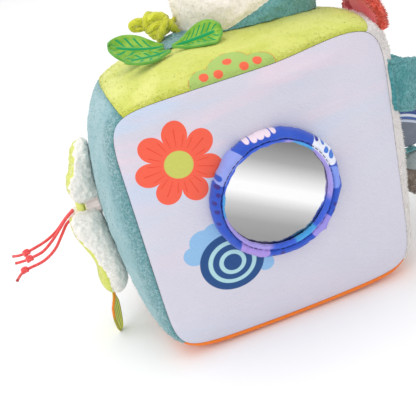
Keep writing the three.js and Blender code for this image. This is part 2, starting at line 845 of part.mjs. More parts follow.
function ribbonTag() {
  const droop = THREE.MathUtils.degToRad(ribbon.droopDeg);
  const pointAt = (u, v) => {
    const half = leafHalf(ribbon.halfWidth, u, ribbon.endShare) * v;
    const out = ribbon.length * u - block.fabric;
    return new THREE.Vector3(
      ribbonRoot.x + out * Math.cos(droop) + half * Math.sin(droop),
      ribbonRoot.y - ribbon.bow * Math.sin(Math.PI * u),
      ribbonRoot.z - out * Math.sin(droop) + half * Math.cos(droop),
    );
  };
  const thickness = ribbon.thickness / 2;
  return cut(cloth(pointAt, facets.leafRows, facets.leafColumns, -thickness, thickness), nearBlock);
}

const podRoot = new THREE.Vector3(0, pod.y, block.centreHeight + pod.aboveCentre);
podRoot.x = sideReach(podRoot.y, podRoot.z);
const podCentre = podRoot.clone()
  .add(new THREE.Vector3(pod.standOff, 0, -pod.halfHeight - pod.tabThickness));

function podHalf(cap) {
  const split = pod.halfHeight * (1 - 2 * pod.capShare);
  const heights = cap
    ? steps(facets.podRows, split + seamGap, pod.halfHeight)
    : steps(facets.podRows, -pod.halfHeight, split);
  const turns = steps(facets.podSides, 0, 2 * Math.PI).slice(0, -1);
  return loft(heights.map((z) => {
    const reach = Math.max(pod.blunt, pod.radius * Math.sqrt(Math.max(0, 1 - (z / pod.halfHeight) ** 2)));
    return turns.map((angle) => podCentre.clone()
      .add(new THREE.Vector3(reach * Math.cos(angle), reach * Math.sin(angle), z)));
  }));
}

function podTab() {
  const length = pod.standOff + block.fabric;
  const tab = new THREE.BoxGeometry(length, 2 * pod.tabHalf, pod.tabThickness);
  const rise = podCentre.z + pod.halfHeight + seamGap + pod.tabThickness / 2;
  tab.translate(podRoot.x + length / 2 - block.fabric, pod.y, rise);
  return cut(tab, nearBlock);
}

// Colours and finishes

const finishes = {
  foam: [0xf2ead2, 0.9],
  lilacSatin: [0xd6d4e4, 0.45],
  blueCotton: [0x2b57c8, 0.85],
  tealVelour: [0x7db6b8, 0.95],
  creamPlush: [0xe6dfd2, 1],
  limeVelour: [0xd6e06e, 0.9],
  orangeCotton: [0xf07d1e, 0.85],
  mirrorFilm: [0xf2f2f2, 0.05, 1],
  greyFelt: [0x9a9aa0, 1],
  blueBinding: [0x2855c8, 0.6],
  leafCloth: [0x8cc247, 0.85],
  jerseyLime: [0xcfcf32, 0.9],
  pinkSatin: [0xe8a9a8, 0.4],
  coralBoucle: [0xf2624a, 1],
  coralCord: [0xfa5050, 0.7],
  greySatin: [0xa9afbd, 0.4],
  taupeBoucle: [0x8a7767, 1],
};

function piece(name, finish, geometry) {
  const [color, roughness, metalness = 0] = finishes[finish];
  const mesh = new THREE.Mesh(geometry, new THREE.MeshStandardMaterial({ color, roughness, metalness }));
  mesh.name = name;
  return mesh;
}

// The whole object

const softBlock = new THREE.Group();

softBlock.add(
  piece('foam_core', 'foam', blockSolid(-block.fabric - seamGap)),
  piece('front_panel', 'lilacSatin', facePanel(false)),
  piece('back_panel', 'blueCotton', facePanel(true)),
  piece('right_panel', 'creamPlush', sidePanel(-eighth)),
  piece('top_panel', 'limeVelour', sidePanel(eighth)),
  piece('left_panel', 'tealVelour', sidePanel(3 * eighth)),
  piece('bottom_panel', 'orangeCotton', sidePanel(5 * eighth)),
  piece('mirror_backing', 'greyFelt', mirrorBacking()),
  piece('mirror_disc', 'mirrorFilm', mirrorDisc()),
  piece('mirror_binding', 'blueBinding', mirrorBinding()),
);

for (const [name, leaf] of Object.entries(leaves)) {
  softBlock.add(piece(name, 'leafCloth', leafSolid(leaf)));
}

softBlock.add(
  piece('cushion_top', 'creamPlush', cushionHalf(true)),
  piece('cushion_base', 'tealVelour', cushionHalf(false)),
  piece('cushion_tab', 'tealVelour', cushionTabSolid()),
  piece('jersey_knot', 'jerseyLime', jerseyKnot()),
  piece('flower_neck', 'pinkSatin', flowerNeck()),
  piece('flower_button', 'limeVelour', flowerButton()),
);

for (const [name, petal] of Object.entries(petals)) {
  softBlock.add(
    piece(`${name}_padding`, 'creamPlush', petalCut(petalHalf(petal, false))),
    piece(`${name}_face`, 'limeVelour', petalCut(petalHalf(petal, true))),
  );
}

softBlock.add(piece('flower_leaf_tag', 'leafCloth', leafTagSolid()));

for (const [number, route] of Object.entries(stamenRoutes)) {
  softBlock.add(
    piece(`stamen_cord_${number}`, 'coralCord', stamenCord(route)),
    piece(`stamen_knot_${number}`, 'coralCord', stamenKnotSolid(route)),
  );
}

softBlock.add(
  piece('handle_loop', 'tealVelour', handleLoop()),
  piece('handle_end_front', 'tealVelour', handleEnd(-1)),
  piece('handle_end_back', 'tealVelour', handleEnd(1)),
  piece('flap_lining', 'pinkSatin', flapLayer(seamGap / 2, flap.lining)),
  piece('flap_shell', 'coralBoucle', flapLayer(-flap.shell, -seamGap / 2)),
  piece('ribbon_tag', 'greySatin', ribbonTag()),
  piece('pod_tab', 'tealVelour', podTab()),
  piece('pod_cap', 'tealVelour', podHalf(true)),
  piece('pod_body', 'taupeBoucle', podHalf(false)),
);

export default softBlock;
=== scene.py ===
# Soft fabric activity block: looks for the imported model, one function per kind of piece.
# Shapes are worked out in millimetres and put into the meshes in metres.
import math

import bpy
import numpy as np
from mathutils import Matrix


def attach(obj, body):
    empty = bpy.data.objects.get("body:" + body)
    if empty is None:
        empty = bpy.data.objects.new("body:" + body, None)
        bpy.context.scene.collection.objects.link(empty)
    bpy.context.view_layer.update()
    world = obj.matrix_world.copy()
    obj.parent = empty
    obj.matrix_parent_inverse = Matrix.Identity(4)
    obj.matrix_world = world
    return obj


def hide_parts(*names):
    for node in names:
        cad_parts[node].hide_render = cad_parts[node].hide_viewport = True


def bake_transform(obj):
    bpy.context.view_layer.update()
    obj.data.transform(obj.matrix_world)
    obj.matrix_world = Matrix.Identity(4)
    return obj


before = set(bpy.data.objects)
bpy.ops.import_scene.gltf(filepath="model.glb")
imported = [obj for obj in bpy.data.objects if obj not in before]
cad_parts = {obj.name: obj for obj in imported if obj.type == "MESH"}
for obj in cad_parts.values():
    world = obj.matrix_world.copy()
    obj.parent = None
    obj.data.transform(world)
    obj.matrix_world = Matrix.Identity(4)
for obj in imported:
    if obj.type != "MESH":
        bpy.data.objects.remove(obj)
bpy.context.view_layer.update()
scene = bpy.context.scene
mm = 0.001
print("frame loaded:", len(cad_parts), "solids")

# The photograph's view
cameraSet = {
    "place": (-0.089163, -0.379523, 0.251156),
    "azimuthDeg": 9.522,
    "elevationDeg": 27.156,
    "rollDeg": -15.245,
    "lens": 63.606,
    "sensor": 36.0,
    "clip": (0.01, 50),
}


def unit(v):
    # Vectors divided by their own length
    v = np.asarray(v, float)
    return v / np.maximum(np.linalg.norm(v, axis=-1, keepdims=True), 1e-12)


def hang(name, data, axes, place):
    # A camera or a lamp at its place, with its right, its up and its back along three axes
    matrix = np.eye(4)
    matrix[:3, :3] = np.stack(axes, 1)
    matrix[:3, 3] = place
    holder = bpy.data.objects.new(name, data)
    scene.collection.objects.link(holder)
    holder.matrix_world = Matrix(matrix.tolist())
    return holder


def makeCamera():
    # Looks along the azimuth and down by the elevation, then turns about its own axis by the roll
    az, el, roll = (math.radians(cameraSet[k]) for k in ("azimuthDeg", "elevationDeg", "rollDeg"))
    ahead = np.array([math.sin(az) * math.cos(el), math.cos(az) * math.cos(el), -math.sin(el)])
    level = unit(np.cross(ahead, [0, 0, 1]))
    above = np.cross(level, ahead)
    right = math.cos(roll) * level + math.sin(roll) * above
    up = -math.sin(roll) * level + math.cos(roll) * above
    lens = bpy.data.cameras.new("photoCamera")
    lens.sensor_width = cameraSet["sensor"]
    lens.lens = cameraSet["lens"]
    lens.clip_start, lens.clip_end = cameraSet["clip"]
    scene.camera = hang("photoCamera", lens, (right, up, -ahead), cameraSet["place"])


makeCamera()
print("camera set")


# Shader maths: a socket that can be added, scaled and compared in plain expressions
class Wire:
    def __init__(self, shader, socket):
        self.shader = shader
        self.socket = socket

    def math(self, operation, *others):
        return self.shader.add("Math", {"operation": operation}, dict(enumerate((self, *others))))

    def __add__(self, other):
        return self.math("ADD", other)

    __radd__ = __add__

    def __mul__(self, other):
        return self.math("MULTIPLY", other)

    __rmul__ = __mul__

    def __sub__(self, other):
        return self.math("SUBTRACT", other)

    def __rsub__(self, other):
        return self.shader.add("Math", {"operation": "SUBTRACT"}, {0: other, 1: self})

    def __truediv__(self, other):
        return self.math("DIVIDE", other)

    def __pow__(self, other):
        return self.math("POWER", other)

    def __abs__(self):
        return self.math("ABSOLUTE")


# One material: its nodes all come from add, its finish from principled
class Shader:
    def __init__(self, name):
        self.material = bpy.data.materials.new(name)
        self.material.use_nodes = True
        self.tree = self.material.node_tree
        self.tree.nodes.clear()
        self.output = self.tree.nodes.new("ShaderNodeOutputMaterial")

    def add(self, kind, settings=None, inputs=None, output=0):
        node = self.tree.nodes.new("ShaderNode" + kind)
        for key, value in (settings or {}).items():
            if key == "stops":
                ramp = node.color_ramp
                while len(ramp.elements) < len(value):
                    ramp.elements.new(0.5)
                for element, (place, colour) in zip(ramp.elements, value):
                    element.position = place
                    element.color = (*linear(colour), 1)
            else:
                setattr(node, key, value)
        for key, value in (inputs or {}).items():
            self.feed(node.inputs[key], value)
        return Wire(self, node.outputs[output])

    def feed(self, socket, value):
        if isinstance(value, Wire):
            self.tree.links.new(value.socket, socket)
        elif isinstance(value, str):
            socket.default_value = (*linear(value), 1)
        else:
            socket.default_value = value

    def mix(self, share, first, second):
        return self.add("Mix", {"data_type": "RGBA"}, {0: share, 6: first, 7: second}, 2)

    def parts(self, vector):
        # The three numbers of a vector, as three wires
        node = self.add("SeparateXYZ", {}, {0: vector}).socket.node
        return [Wire(self, output) for output in node.outputs]

    def objectPlace(self):
        # Object coordinates in millimetres
        return [part * 1000 for part in self.parts(self.add("TexCoord", output="Object"))]

    def clothPlace(self):
        # The piece's own attribute: two lengths on the cloth and a third value
        return self.parts(self.add("Attribute", {"attribute_name": "place"}, output="Vector"))

    def noise(self, scale, detail=2.0, rough=0.5, warp=0.0, where=None):
        # Noise over the object's own place, by default, with scale in features per metre
        where = where or self.add("TexCoord", output="Object")
        return self.add("TexNoise", {}, {"Vector": where, "Scale": scale, "Detail": detail,
                                         "Roughness": rough, "Distortion": warp}, "Fac")

    def apply(self, operation, first, second=0.0):
        # Functions such as the sine, for which an operator has no sign
        return self.add("Math", {"operation": operation}, {0: first, 1: second})

    def step(self, value, low, high):
        # Rises smoothly from 0 at low to 1 at high
        return self.add("MapRange", {"interpolation_type": "SMOOTHSTEP"},
                        {"Value": value, "From Min": low, "From Max": high})

    def below(self, value, edge, soft=0.25):
        # 1 where value is under edge, with a soft border
        return 1 - self.step(value, edge - soft, edge + soft)

    def bump(self, height, strength, distance):
        return self.add("Bump", {}, {"Height": height, "Strength": strength, "Distance": distance})

    def principled(self, colour, roughness, normal=None, **constants):
        inputs = {"Base Color": colour, "Roughness": roughness}
        if normal:
            inputs["Normal"] = normal
        inputs.update({key.replace("_", " "): value for key, value in constants.items()})
        surface = self.add("BsdfPrincipled", {}, inputs)
        self.feed(self.output.inputs["Surface"], surface)
        return self.material


def linear(colour):
    # A hex colour as the three linear numbers that Blender keeps
    c = np.array([int(colour[i:i + 2], 16) for i in (0, 2, 4)]) / 255
    return tuple(np.where(c <= 0.04045, c / 12.92, ((c + 0.055) / 1.055) ** 2.4))


# Shape tools, whole arrays at a time

def fullTurn(count):
    # Angles once round, without the last, which is the first again
    return np.linspace(0, 2 * np.pi, count, endpoint=False)


def signedPower(value, power):
    # The size of a value raised to a power, with its sign kept: it squares off a sine or cosine
    return np.sign(value) * np.abs(value) ** power


def latticeNoise(points, cell, seed):
    # Random heights from -1 to 1 on a cubic lattice of this cell, blended smoothly between its corners
    p = np.asarray(points, float) / cell
    base = np.floor(p).astype(np.int64)
    f = p - base
    f = f * f * (3 - 2 * f)
    total = np.zeros(p.shape[:-1])
    for corner in range(8):
        bits = np.array([corner & 1, (corner >> 1) & 1, (corner >> 2) & 1])
        k = base + bits
        h = (k[..., 0] * 73856093) ^ (k[..., 1] * 19349663) ^ (k[..., 2] * 83492791) ^ (seed * 9176263)
        h = ((h ^ (h >> 13)) * 1274126177) & 0x7FFFFFFF
        h = ((h ^ (h >> 15)) * 60493) & 0x7FFFFFFF
        weight = np.prod(np.where(bits, f, 1 - f), axis=-1)
        total += weight * (((h >> 7) & 0xFFFF) / 32767.5 - 1)
    return total


def layeredNoise(points, cell, seed, layers=3):
    # Each layer has half the cell and half the height of the one before
    return sum(latticeNoise(points, cell / 2 ** i, seed + i) / 2 ** i for i in range(layers))


def gridNormals(grid, wrapColumns=False, awayFrom=None):
    # The cross product of the two directions of a grid, turned away from a point inside
    along = np.roll(grid, -1, 1) - np.roll(grid, 1, 1) if wrapColumns else np.gradient(grid, axis=1)
    normal = unit(np.cross(np.gradient(grid, axis=0), along))
    if awayFrom is not None and np.sum(normal * (grid - np.asarray(awayFrom))) < 0:
        normal = -normal
    return normal


def lengths(grid, axis):
    # The distance along a grid from its first row or column to each point
    pieces = np.linalg.norm(np.diff(grid, axis=axis), axis=-1)
    start = np.zeros_like(np.take(pieces, [0], axis=axis))
    return np.concatenate([start, np.cumsum(pieces, axis=axis)], axis=axis)


def gridFaces(rows, columns, wrapRows=False, wrapColumns=False):
    # Quads between each point and its next row and next column
    down, across = np.arange(rows - (not wrapRows)), np.arange(columns - (not wrapColumns))
    i, j = np.meshgrid(down, across, indexing="ij")
    i2, j2 = (i + 1) % rows, (j + 1) % columns
    quads = np.stack([i * columns + j, i * columns + j2, i2 * columns + j2, i2 * columns + j], -1)
    return quads.reshape(-1, 4)


def makeMesh(name, points, faces, place=None, closed=True):
    # Puts points and faces into a mesh, faces turned outwards by the sign of its volume
    points = np.asarray(points, float).reshape(-1, 3)
    if closed:
        volume = 0.0
        for f in faces:
            for k in range(1, f.shape[1] - 1):
                a, b, c = points[f[:, 0]], points[f[:, k]], points[f[:, k + 1]]
                volume += np.sum(a * np.cross(b, c))
        if volume < 0:
            faces = [f[:, ::-1] for f in faces]
    mesh = bpy.data.meshes.new(name)
    mesh.vertices.add(len(points))
    mesh.vertices.foreach_set("co", (points * mm).ravel())
    loops = np.concatenate([f.ravel() for f in faces])
    totals = np.concatenate([np.full(len(f), f.shape[1]) for f in faces])
    mesh.loops.add(len(loops))
    mesh.loops.foreach_set("vertex_index", loops.astype(np.int32))
    mesh.polygons.add(len(totals))
    mesh.polygons.foreach_set("loop_start", (np.cumsum(totals) - totals).astype(np.int32))
    mesh.polygons.foreach_set("use_smooth", np.ones(len(totals), bool))
    mesh.update(calc_edges=True)
    if place is not None:
        layer = mesh.attributes.new("place", "FLOAT_VECTOR", "POINT")
        layer.data.foreach_set("vector", np.asarray(place, np.float32).ravel())
    piece = bpy.data.objects.new(name, mesh)
    scene.collection.objects.link(piece)
    return piece


def slabMesh(name, outer, inner, place):
    # Two equal grids joined round their rims
    rows, columns = outer.shape[:2]
    under = rows * columns
    index = np.arange(under).reshape(rows, columns)
    rim = np.concatenate([index[0, :-1], index[:-1, -1], index[-1, :0:-1], index[:0:-1, 0]])
    ahead = np.roll(rim, -1)
    sides = np.stack([ahead, rim, rim + under, ahead + under], -1)
    top = gridFaces(rows, columns)
    faces = np.concatenate([top, top[:, ::-1] + under, sides])
    points = np.concatenate([outer.reshape(-1, 3), inner.reshape(-1, 3)])
    both = np.concatenate([place.reshape(-1, 3)] * 2)
    return makeMesh(name, points, [faces], both)


def loftParts(rings, place):
    # Closed rings joined one to the next, both ends drawn to the middle of their ring
    rows, columns = rings.shape[:2]
    points = np.concatenate([rings.reshape(-1, 3), rings[[0, -1]].mean(1)])
    places = np.concatenate([place.reshape(-1, 3), place[[0, -1]].mean(1)])
    j = np.arange(columns)
    ahead = (j + 1) % columns
    last = (rows - 1) * columns
    first = np.stack([np.full(columns, rows * columns), ahead, j], -1)
    final = np.stack([np.full(columns, rows * columns + 1), last + j, last + ahead], -1)
    quads = gridFaces(rows, columns, wrapColumns=True)
    return points, places, quads, np.concatenate([first, final])


def loftMesh(name, rings, place):
    points, places, quads, tris = loftParts(rings, place)
    return makeMesh(name, points, [quads, tris], places)


def smoothRoute(points, count, closed=False):
    # A centripetal spline through the points, each stretch a cubic between its two ends
    p = np.asarray(points, float)
    if closed:
        p = np.concatenate([p[-1:], p, p[:2]])
    else:
        p = np.concatenate([[2 * p[0] - p[1]], p, [2 * p[-1] - p[-2]]])
    gap = np.sqrt(np.linalg.norm(np.diff(p, axis=0), axis=1)) + 1e-9
    knots = np.concatenate([[0], np.cumsum(gap)])
    t = np.linspace(knots[1], knots[-2], count, endpoint=not closed)
    k = np.clip(np.searchsorted(knots, t, side="right") - 1, 1, len(p) - 3)
    t0, t1, t2, t3 = (knots[k + i][:, None] for i in (-1, 0, 1, 2))
    p0, p1, p2, p3 = (p[k + i] for i in (-1, 0, 1, 2))
    t = t[:, None]
    a1 = (t1 - t) / (t1 - t0) * p0 + (t - t0) / (t1 - t0) * p1
    a2 = (t2 - t) / (t2 - t1) * p1 + (t - t1) / (t2 - t1) * p2
    a3 = (t3 - t) / (t3 - t2) * p2 + (t - t2) / (t3 - t2) * p3
    b1 = (t2 - t) / (t2 - t0) * a1 + (t - t0) / (t2 - t0) * a2
    b2 = (t3 - t) / (t3 - t1) * a2 + (t - t1) / (t3 - t1) * a3
    return (t2 - t) / (t2 - t1) * b1 + (t - t1) / (t2 - t1) * b2


def tubeRings(route, radius, sides, hint=(0, 0, 1)):
    # A circle carried square along a route, its zero angle square to one direction; radius may vary
    route = np.asarray(route, float)
    ahead = unit(np.gradient(route, axis=0))
    side = unit(np.cross(np.broadcast_to(hint, route.shape), ahead))
    up = np.cross(ahead, side)
    turn = fullTurn(sides)
    radius = np.broadcast_to(np.asarray(radius, float), (len(route),))[:, None]
    rings = route[:, None] + radius[..., None] * (
        np.cos(turn)[None, :, None] * side[:, None] + np.sin(turn)[None, :, None] * up[:, None])
    distance = lengths(route[:, None], 0)
    place = np.stack(np.broadcast_arrays(distance, turn[None, :] * radius, turn[None, :]), -1)
    return rings, place


def joinedMesh(name, parts):
    # Several closed lofts in one mesh
    points, places, quads, tris = [], [], [], []
    offset = 0
    for rings, place in parts:
        p, w, q, t = loftParts(rings, place)
        a, b, c = p[q[:, 0]], p[q[:, 1]], p[q[:, 2]]
        if np.sum((a - p.mean(0)) * np.cross(b - a, c - a)) < 0:
            q, t = q[:, ::-1], t[:, ::-1]
        points.append(p)
        places.append(w)
        quads.append(q + offset)
        tris.append(t + offset)
        offset += len(p)
    faces = [np.concatenate(quads), np.concatenate(tris)]
    return makeMesh(name, np.concatenate(points), faces, np.concatenate(places), closed=False)


def dress(piece, body, slotName, material, *nodes):
    # Gives a piece its body, its finish and the solids that it stands for
    piece.data.materials.clear()
    piece.data.materials.append(material)
    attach(piece, body)
    if nodes:
        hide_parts(*nodes)
    return piece


def growPile(name, points, quads, normals, places, weight, settings, seed):
    # Short closed spikes over a surface, as many as its area times the weight asks for, each leaning
    # its own way. The third value of their attribute is 0 at the foot and 1 at the tip
    rng = np.random.default_rng(seed)
    a, b, c, d = (points[quads[:, k]] for k in range(4))
    area = np.linalg.norm(np.cross(c - a, d - b), axis=-1) / 2
    share = area * np.maximum(weight[quads].mean(1), 0)
    count = int(share.sum() * settings["perSquare"])
    pick = quads[rng.choice(share.size, count, p=share / share.sum())]
    u, v = rng.random(count)[:, None], rng.random(count)[:, None]

    def at(values):
        near = values[pick[:, 0]] * (1 - u) + values[pick[:, 3]] * u
        far = values[pick[:, 1]] * (1 - u) + values[pick[:, 2]] * u
        return near * (1 - v) + far * v

    root, out = at(points), unit(at(normals))
    clump = np.stack([latticeNoise(root, settings["clump"], seed + k) for k in (11, 12, 13)], -1)
    stray = rng.normal(0, settings["stray"], (count, 3))
    lean = clump * settings["lean"] + stray + np.asarray(settings["comb"])
    length = settings["length"] * rng.uniform(0.6, 1.15, count)[:, None]
    tip = root + length * unit(out + lean)
    side = unit(np.cross(out, rng.normal(0, 1, (count, 3))))
    other = np.cross(out, side)
    w = settings["width"]
    foot = root - out * w
    corners = [foot + w * (math.cos(t) * side + math.sin(t) * other) for t in (0, 2.0944, 4.18879)]
    spikes = np.stack([*corners, tip], 1).reshape(-1, 3)
    shapes = np.array([[0, 1, 3], [1, 2, 3], [2, 0, 3], [0, 2, 1]])
    faces = (4 * np.arange(count)[:, None, None] + shapes[None]).reshape(-1, 3)
    where = np.repeat(at(places), 4, axis=0)
    where[:, 2] = np.tile([0, 0, 0, 1.0], count)
    print("pile", name, count)
    return makeMesh(name, spikes, [faces], where)


def pileMesh(name, grid, normal, weight, settings, seed, place, wrapColumns=False):
    # Pile over a grid, thicker where the weight of its points is more
    quads = gridFaces(*grid.shape[:2], wrapColumns=wrapColumns)
    weight = np.broadcast_to(weight, grid.shape[:2]).ravel()
    return growPile(name, grid.reshape(-1, 3), quads, normal.reshape(-1, 3), place.reshape(-1, 3),
                    weight, settings, seed)


def pointNormals(points, quads):
    # The mean of the normals of the faces round each point, weighed by their areas
    face = np.cross(points[quads[:, 2]] - points[quads[:, 0]], points[quads[:, 3]] - points[quads[:, 1]])
    total = np.zeros_like(points)
    for k in range(4):
        np.add.at(total, quads[:, k], face)
    return unit(total)


def readPiece(piece):
    # The points, in millimetres, and the quads of a piece as its modifiers leave it
    made = piece.evaluated_get(bpy.context.evaluated_depsgraph_get()).to_mesh()
    points = np.empty(3 * len(made.vertices))
    made.vertices.foreach_get("co", points)
    corners = np.empty(len(made.loops), np.int32)
    made.loops.foreach_get("vertex_index", corners)
    return points.reshape(-1, 3) / mm, corners.reshape(-1, 4)


def dropPiece(piece):
    mesh = piece.data
    bpy.data.objects.remove(piece)
    bpy.data.meshes.remove(mesh)


def stuffed(name, rings, kind, isSewn):
    points, _, quads, tris = loftParts(rings, np.zeros_like(rings))
    raw = makeMesh(name + "Raw", points, [quads, tris])
    voxels = raw.modifiers.new("voxels", "REMESH")
    voxels.mode = "VOXEL"
    voxels.voxel_size = kind["voxel"] * mm
    start, quads = readPiece(raw)
    dropPiece(raw)
    bag = makeMesh(name + "Bag", start, [quads])
    sewn = bag.vertex_groups.new(name="sewn")
    sewn.add([int(i) for i in np.flatnonzero(isSewn(start))], 1.0, "REPLACE")
    cloth = bag.modifiers.new("air", "CLOTH")
    cloth.settings.use_pressure = True
    cloth.settings.uniform_pressure_force = kind["pressure"]
    cloth.settings.vertex_group_mass = "sewn"
    cloth.settings.effector_weights.gravity = 0
    cloth.settings.quality = 5
    cloth.collision_settings.use_collision = False
    for step in range(kind["steps"]):
        scene.frame_set(step + 1)
    blown, _ = readPiece(bag)
    bag.modifiers.remove(cloth)
    scene.frame_set(1)
    move = blown - start
    far = np.linalg.norm(move, axis=1, keepdims=True)
    start = start + move * np.minimum(1, kind["cap"] / np.maximum(far, 1e-9))
    bag.data.vertices.foreach_set("co", (start * mm).ravel())
    bag.data.update()
    print("stuffed", name, "points", len(start), "mean move", round(float(far.mean()), 2))
    fine = bag.modifiers.new("fine", "SUBSURF")
    fine.levels = fine.render_levels = kind["levels"]
    points, quads = readPiece(bag)
    dropPiece(bag)
    return points, quads


def nubs(points, normals, cell, height, seed):
    # Small round tufts: the tops of a noise of this cell, raised along the surface
    top = np.clip(0.5 + 1.3 * latticeNoise(points, cell, seed), 0, 1)
    return points + normals * (height * top)[..., None]


# The ranges in which the block's surface is looked up, and where its left side begins
nearBlock = {"x": (-60, 68), "y": (-56, 56), "z": (12, 140), "leftOf": -40}


def clearOfBlock(points, gap):
    # Points that would lie inside the block move out to its left side or its top
    y = np.clip(points[..., 1], *nearBlock["y"])
    z = np.clip(points[..., 2], *nearBlock["z"])
    isLeft = points[..., 0] < nearBlock["leftOf"]
    wall = -sideReach(y, z) - gap
    points = points.copy()
    points[..., 0] = np.where(isLeft, np.minimum(points[..., 0], wall), points[..., 0])
    x = np.clip(points[..., 0], *nearBlock["x"])
    floor = topHeight(x, y) + gap
    points[..., 2] = np.where(isLeft, points[..., 2], np.maximum(points[..., 2], floor))
    return points


# The block's surface

block = {
    "halfWidth": 71, "halfHeight": 69.5, "halfDepth": 57, "cornerPower": 9.5,
    "backFaceShare": 0.84, "taperPower": 1.5, "sideBulge": 16, "topBulge": 13.5, "bottomBulge": 10,
    "cornerBulgeShare": 0.4, "bottomSeamBow": 2.5, "centreHeight": 76, "frontCrown": 7, "backCrown": 9,
    "crownPower": 1.5, "fabric": 2,
    "seamDip": 0.2, "seamWidth": 1.4, "puckerPeriod": 8, "puckerHeight": 0.09, "puckerReach": 6,
    # Where the stuffing moves the cover: x, z, how far, over which reach, and its direction in x and z
    "corners": ((76, 140, 4.4, 24, 0.8, 0.25), (50, 156, 1.5, 20, 0, -1), (-70, 140, 2.6, 24, 0.7, -0.7)),
    "seamDrop": -1.4, "seamLift": 3.4, "seamIn": 1.2, "climbFrom": 8, "climbLength": 46,
}
quarter, eighth = math.pi / 2, math.pi / 4


def bandPoint(angle, turn, grow=0.0):
    # A point of the four sides: a rounded square in x and z, narrower towards the back, plus a bulge
    # that rises as the sine of the turn from the front seam (0) to the back seam (pi)
    angle, turn = np.broadcast_arrays(np.asarray(angle, float), np.asarray(turn, float))
    power = block["cornerPower"]
    c, s = np.cos(angle), np.sin(angle)
    reach = (np.abs(c) ** power + np.abs(s) ** power) ** (-1 / power)
    c, s = c * reach, s * reach
    depth = -np.cos(turn)
    taper = 1 - (1 - block["backFaceShare"]) * ((1 + depth) / 2) ** block["taperPower"]
    bulge = np.sin(turn)
    upright, level = np.maximum(0, 1 - s * s), np.maximum(0, 1 - c * c)
    widen = np.sign(c) * np.minimum(1, c * c)
    raising = np.sign(s) * np.minimum(1, s * s)
    corner = block["cornerBulgeShare"]
    x = c * (block["halfWidth"] + grow) * taper + widen * bulge * block["sideBulge"] * (
        corner + (1 - corner) * upright)
    rise = np.where(s > 0, block["topBulge"], block["bottomBulge"])
    bow = np.where(s < 0, block["bottomSeamBow"] * level, 0)
    z = s * (block["halfHeight"] + grow) * taper + raising * (bulge * rise * (
        corner + (1 - corner) * level) + bow)
    # The front seam droops along the top and climbs into its upper right corner
    front = ((1 - depth) / 2) ** 2
    climb = np.clip((x - block["climbFrom"]) / block["climbLength"], 0, 1)
    rise = block["seamDrop"] + block["seamLift"] * climb ** 2 * (3 - 2 * climb)
    z = z + front * np.maximum(s, 0) ** 4 * rise
    x = x - front * np.maximum(c, 0) ** 4 * block["seamIn"]
    z = np.maximum(z + block["centreHeight"], -grow)
    return np.stack([x, depth * (block["halfDepth"] + grow), z], -1)


def facePoint(angle, out, back, grow=0.0):
    # A point of the domed front or back face, from its middle (out 0) to its seam (out a quarter turn)
    angle, out = np.broadcast_arrays(np.asarray(angle, float), np.asarray(out, float))
    rim = bandPoint(angle, np.pi if back else 0.0, grow)
    share = np.sin(out)
    crown = (block["backCrown"] if back else -block["frontCrown"]) * np.maximum(0, np.cos(out)) ** block[
        "crownPower"]
    z = block["centreHeight"] + (rim[..., 2] - block["centreHeight"]) * share
    return np.stack([rim[..., 0] * share, rim[..., 1] + crown, z], -1)


def turnAt(y):
    return np.arccos(np.clip(-np.asarray(y, float) / block["halfDepth"], -1, 1))


def solveAngle(low, high, isPast):
    # The angle at which each test first holds, found by halving
    for _ in range(26):
        middle = (low + high) / 2
        past = isPast(middle)
        low, high = np.where(past, low, middle), np.where(past, middle, high)
    return low


def topHeight(x, y):
    turn = turnAt(y)
    low = np.full(np.shape(turn), eighth)
    angle = solveAngle(low, low * 3, lambda a: bandPoint(a, turn)[..., 0] <= x)
    return settle(bandPoint(angle, turn))[..., 2]


def sideReach(y, z):
    turn = turnAt(y)
    low = np.full(np.shape(turn), -eighth)
    angle = solveAngle(low, -low, lambda a: bandPoint(a, turn)[..., 2] >= z)
    return bandPoint(angle, turn)[..., 0]


def settle(points):
    # The stuffing crowds into the upper right corner, leaves the top beside it lower and draws the upper
    # left corner in; nothing moves at the front and back seams
    depth = np.clip(points[..., 1] / block["halfDepth"], -1, 1)
    for x0, z0, puff, reach, along, up in block["corners"]:
        away = (points[..., 0] - x0) ** 2 + (points[..., 2] - z0) ** 2
        swell = puff * np.exp(-away / reach ** 2) * (1 - depth ** 2) ** 0.35
        points = points + swell[..., None] * np.array([along, 0, up])
    return points


def eased(count, power=1.6):
    # From 0 to 1, closer together towards both ends
    u = np.linspace(-1, 1, count)
    return (np.sign(u) * (1 - (1 - np.abs(u)) ** power) + 1) / 2


def seamRelief(points, away, along, seed):
    # Down into the seam, with small puckers that fade away from it
    dip = -block["seamDip"] * np.exp(-(away / block["seamWidth"]) ** 1.4)
    phase = 2.5 * latticeNoise(points, 30, seed)
    strength = 0.6 + 0.4 * latticeNoise(points, 22, seed + 5)
    pucker = np.sin(2 * np.pi * along / block["puckerPeriod"] + phase) * strength
    fade = np.exp(-away / block["puckerReach"]) * (1 - np.exp(-(away / 1.5) ** 2))
    return dip + block["puckerHeight"] * pucker * fade


panels = {
    "right_panel": {"start": -eighth, "slot": "cream_plush", "lumps": 0.55, "cell": 9, "seed": 21},
    "top_panel": {"start": eighth, "slot": "lime_velour", "lumps": 0.45, "cell": 14, "seed": 22},
    "left_panel": {"start": 3 * eighth, "slot": "teal_velour", "lumps": 0.55, "cell": 16, "seed": 23},
    "bottom_panel": {"start": 5 * eighth, "slot": "orange_cotton", "lumps": 0.4, "cell": 18, "seed": 24},
}
panelSet = {
    "rows": 150, "columns": 150, "turnGap": 0.004, "cornerGap": 0.1 / 99, "restRise": 3,
    "hemHeight": 1.1, "hemAt": 1.8, "hemWidth": 1.5,  # the orange edge rolls out at the front seam
}
# How far the two upper corner seams stray on to the top panel, as an angle: at the front and halfway back
strays = {"right": (0.045, 0.03), "left": (0.05, 0.035)}


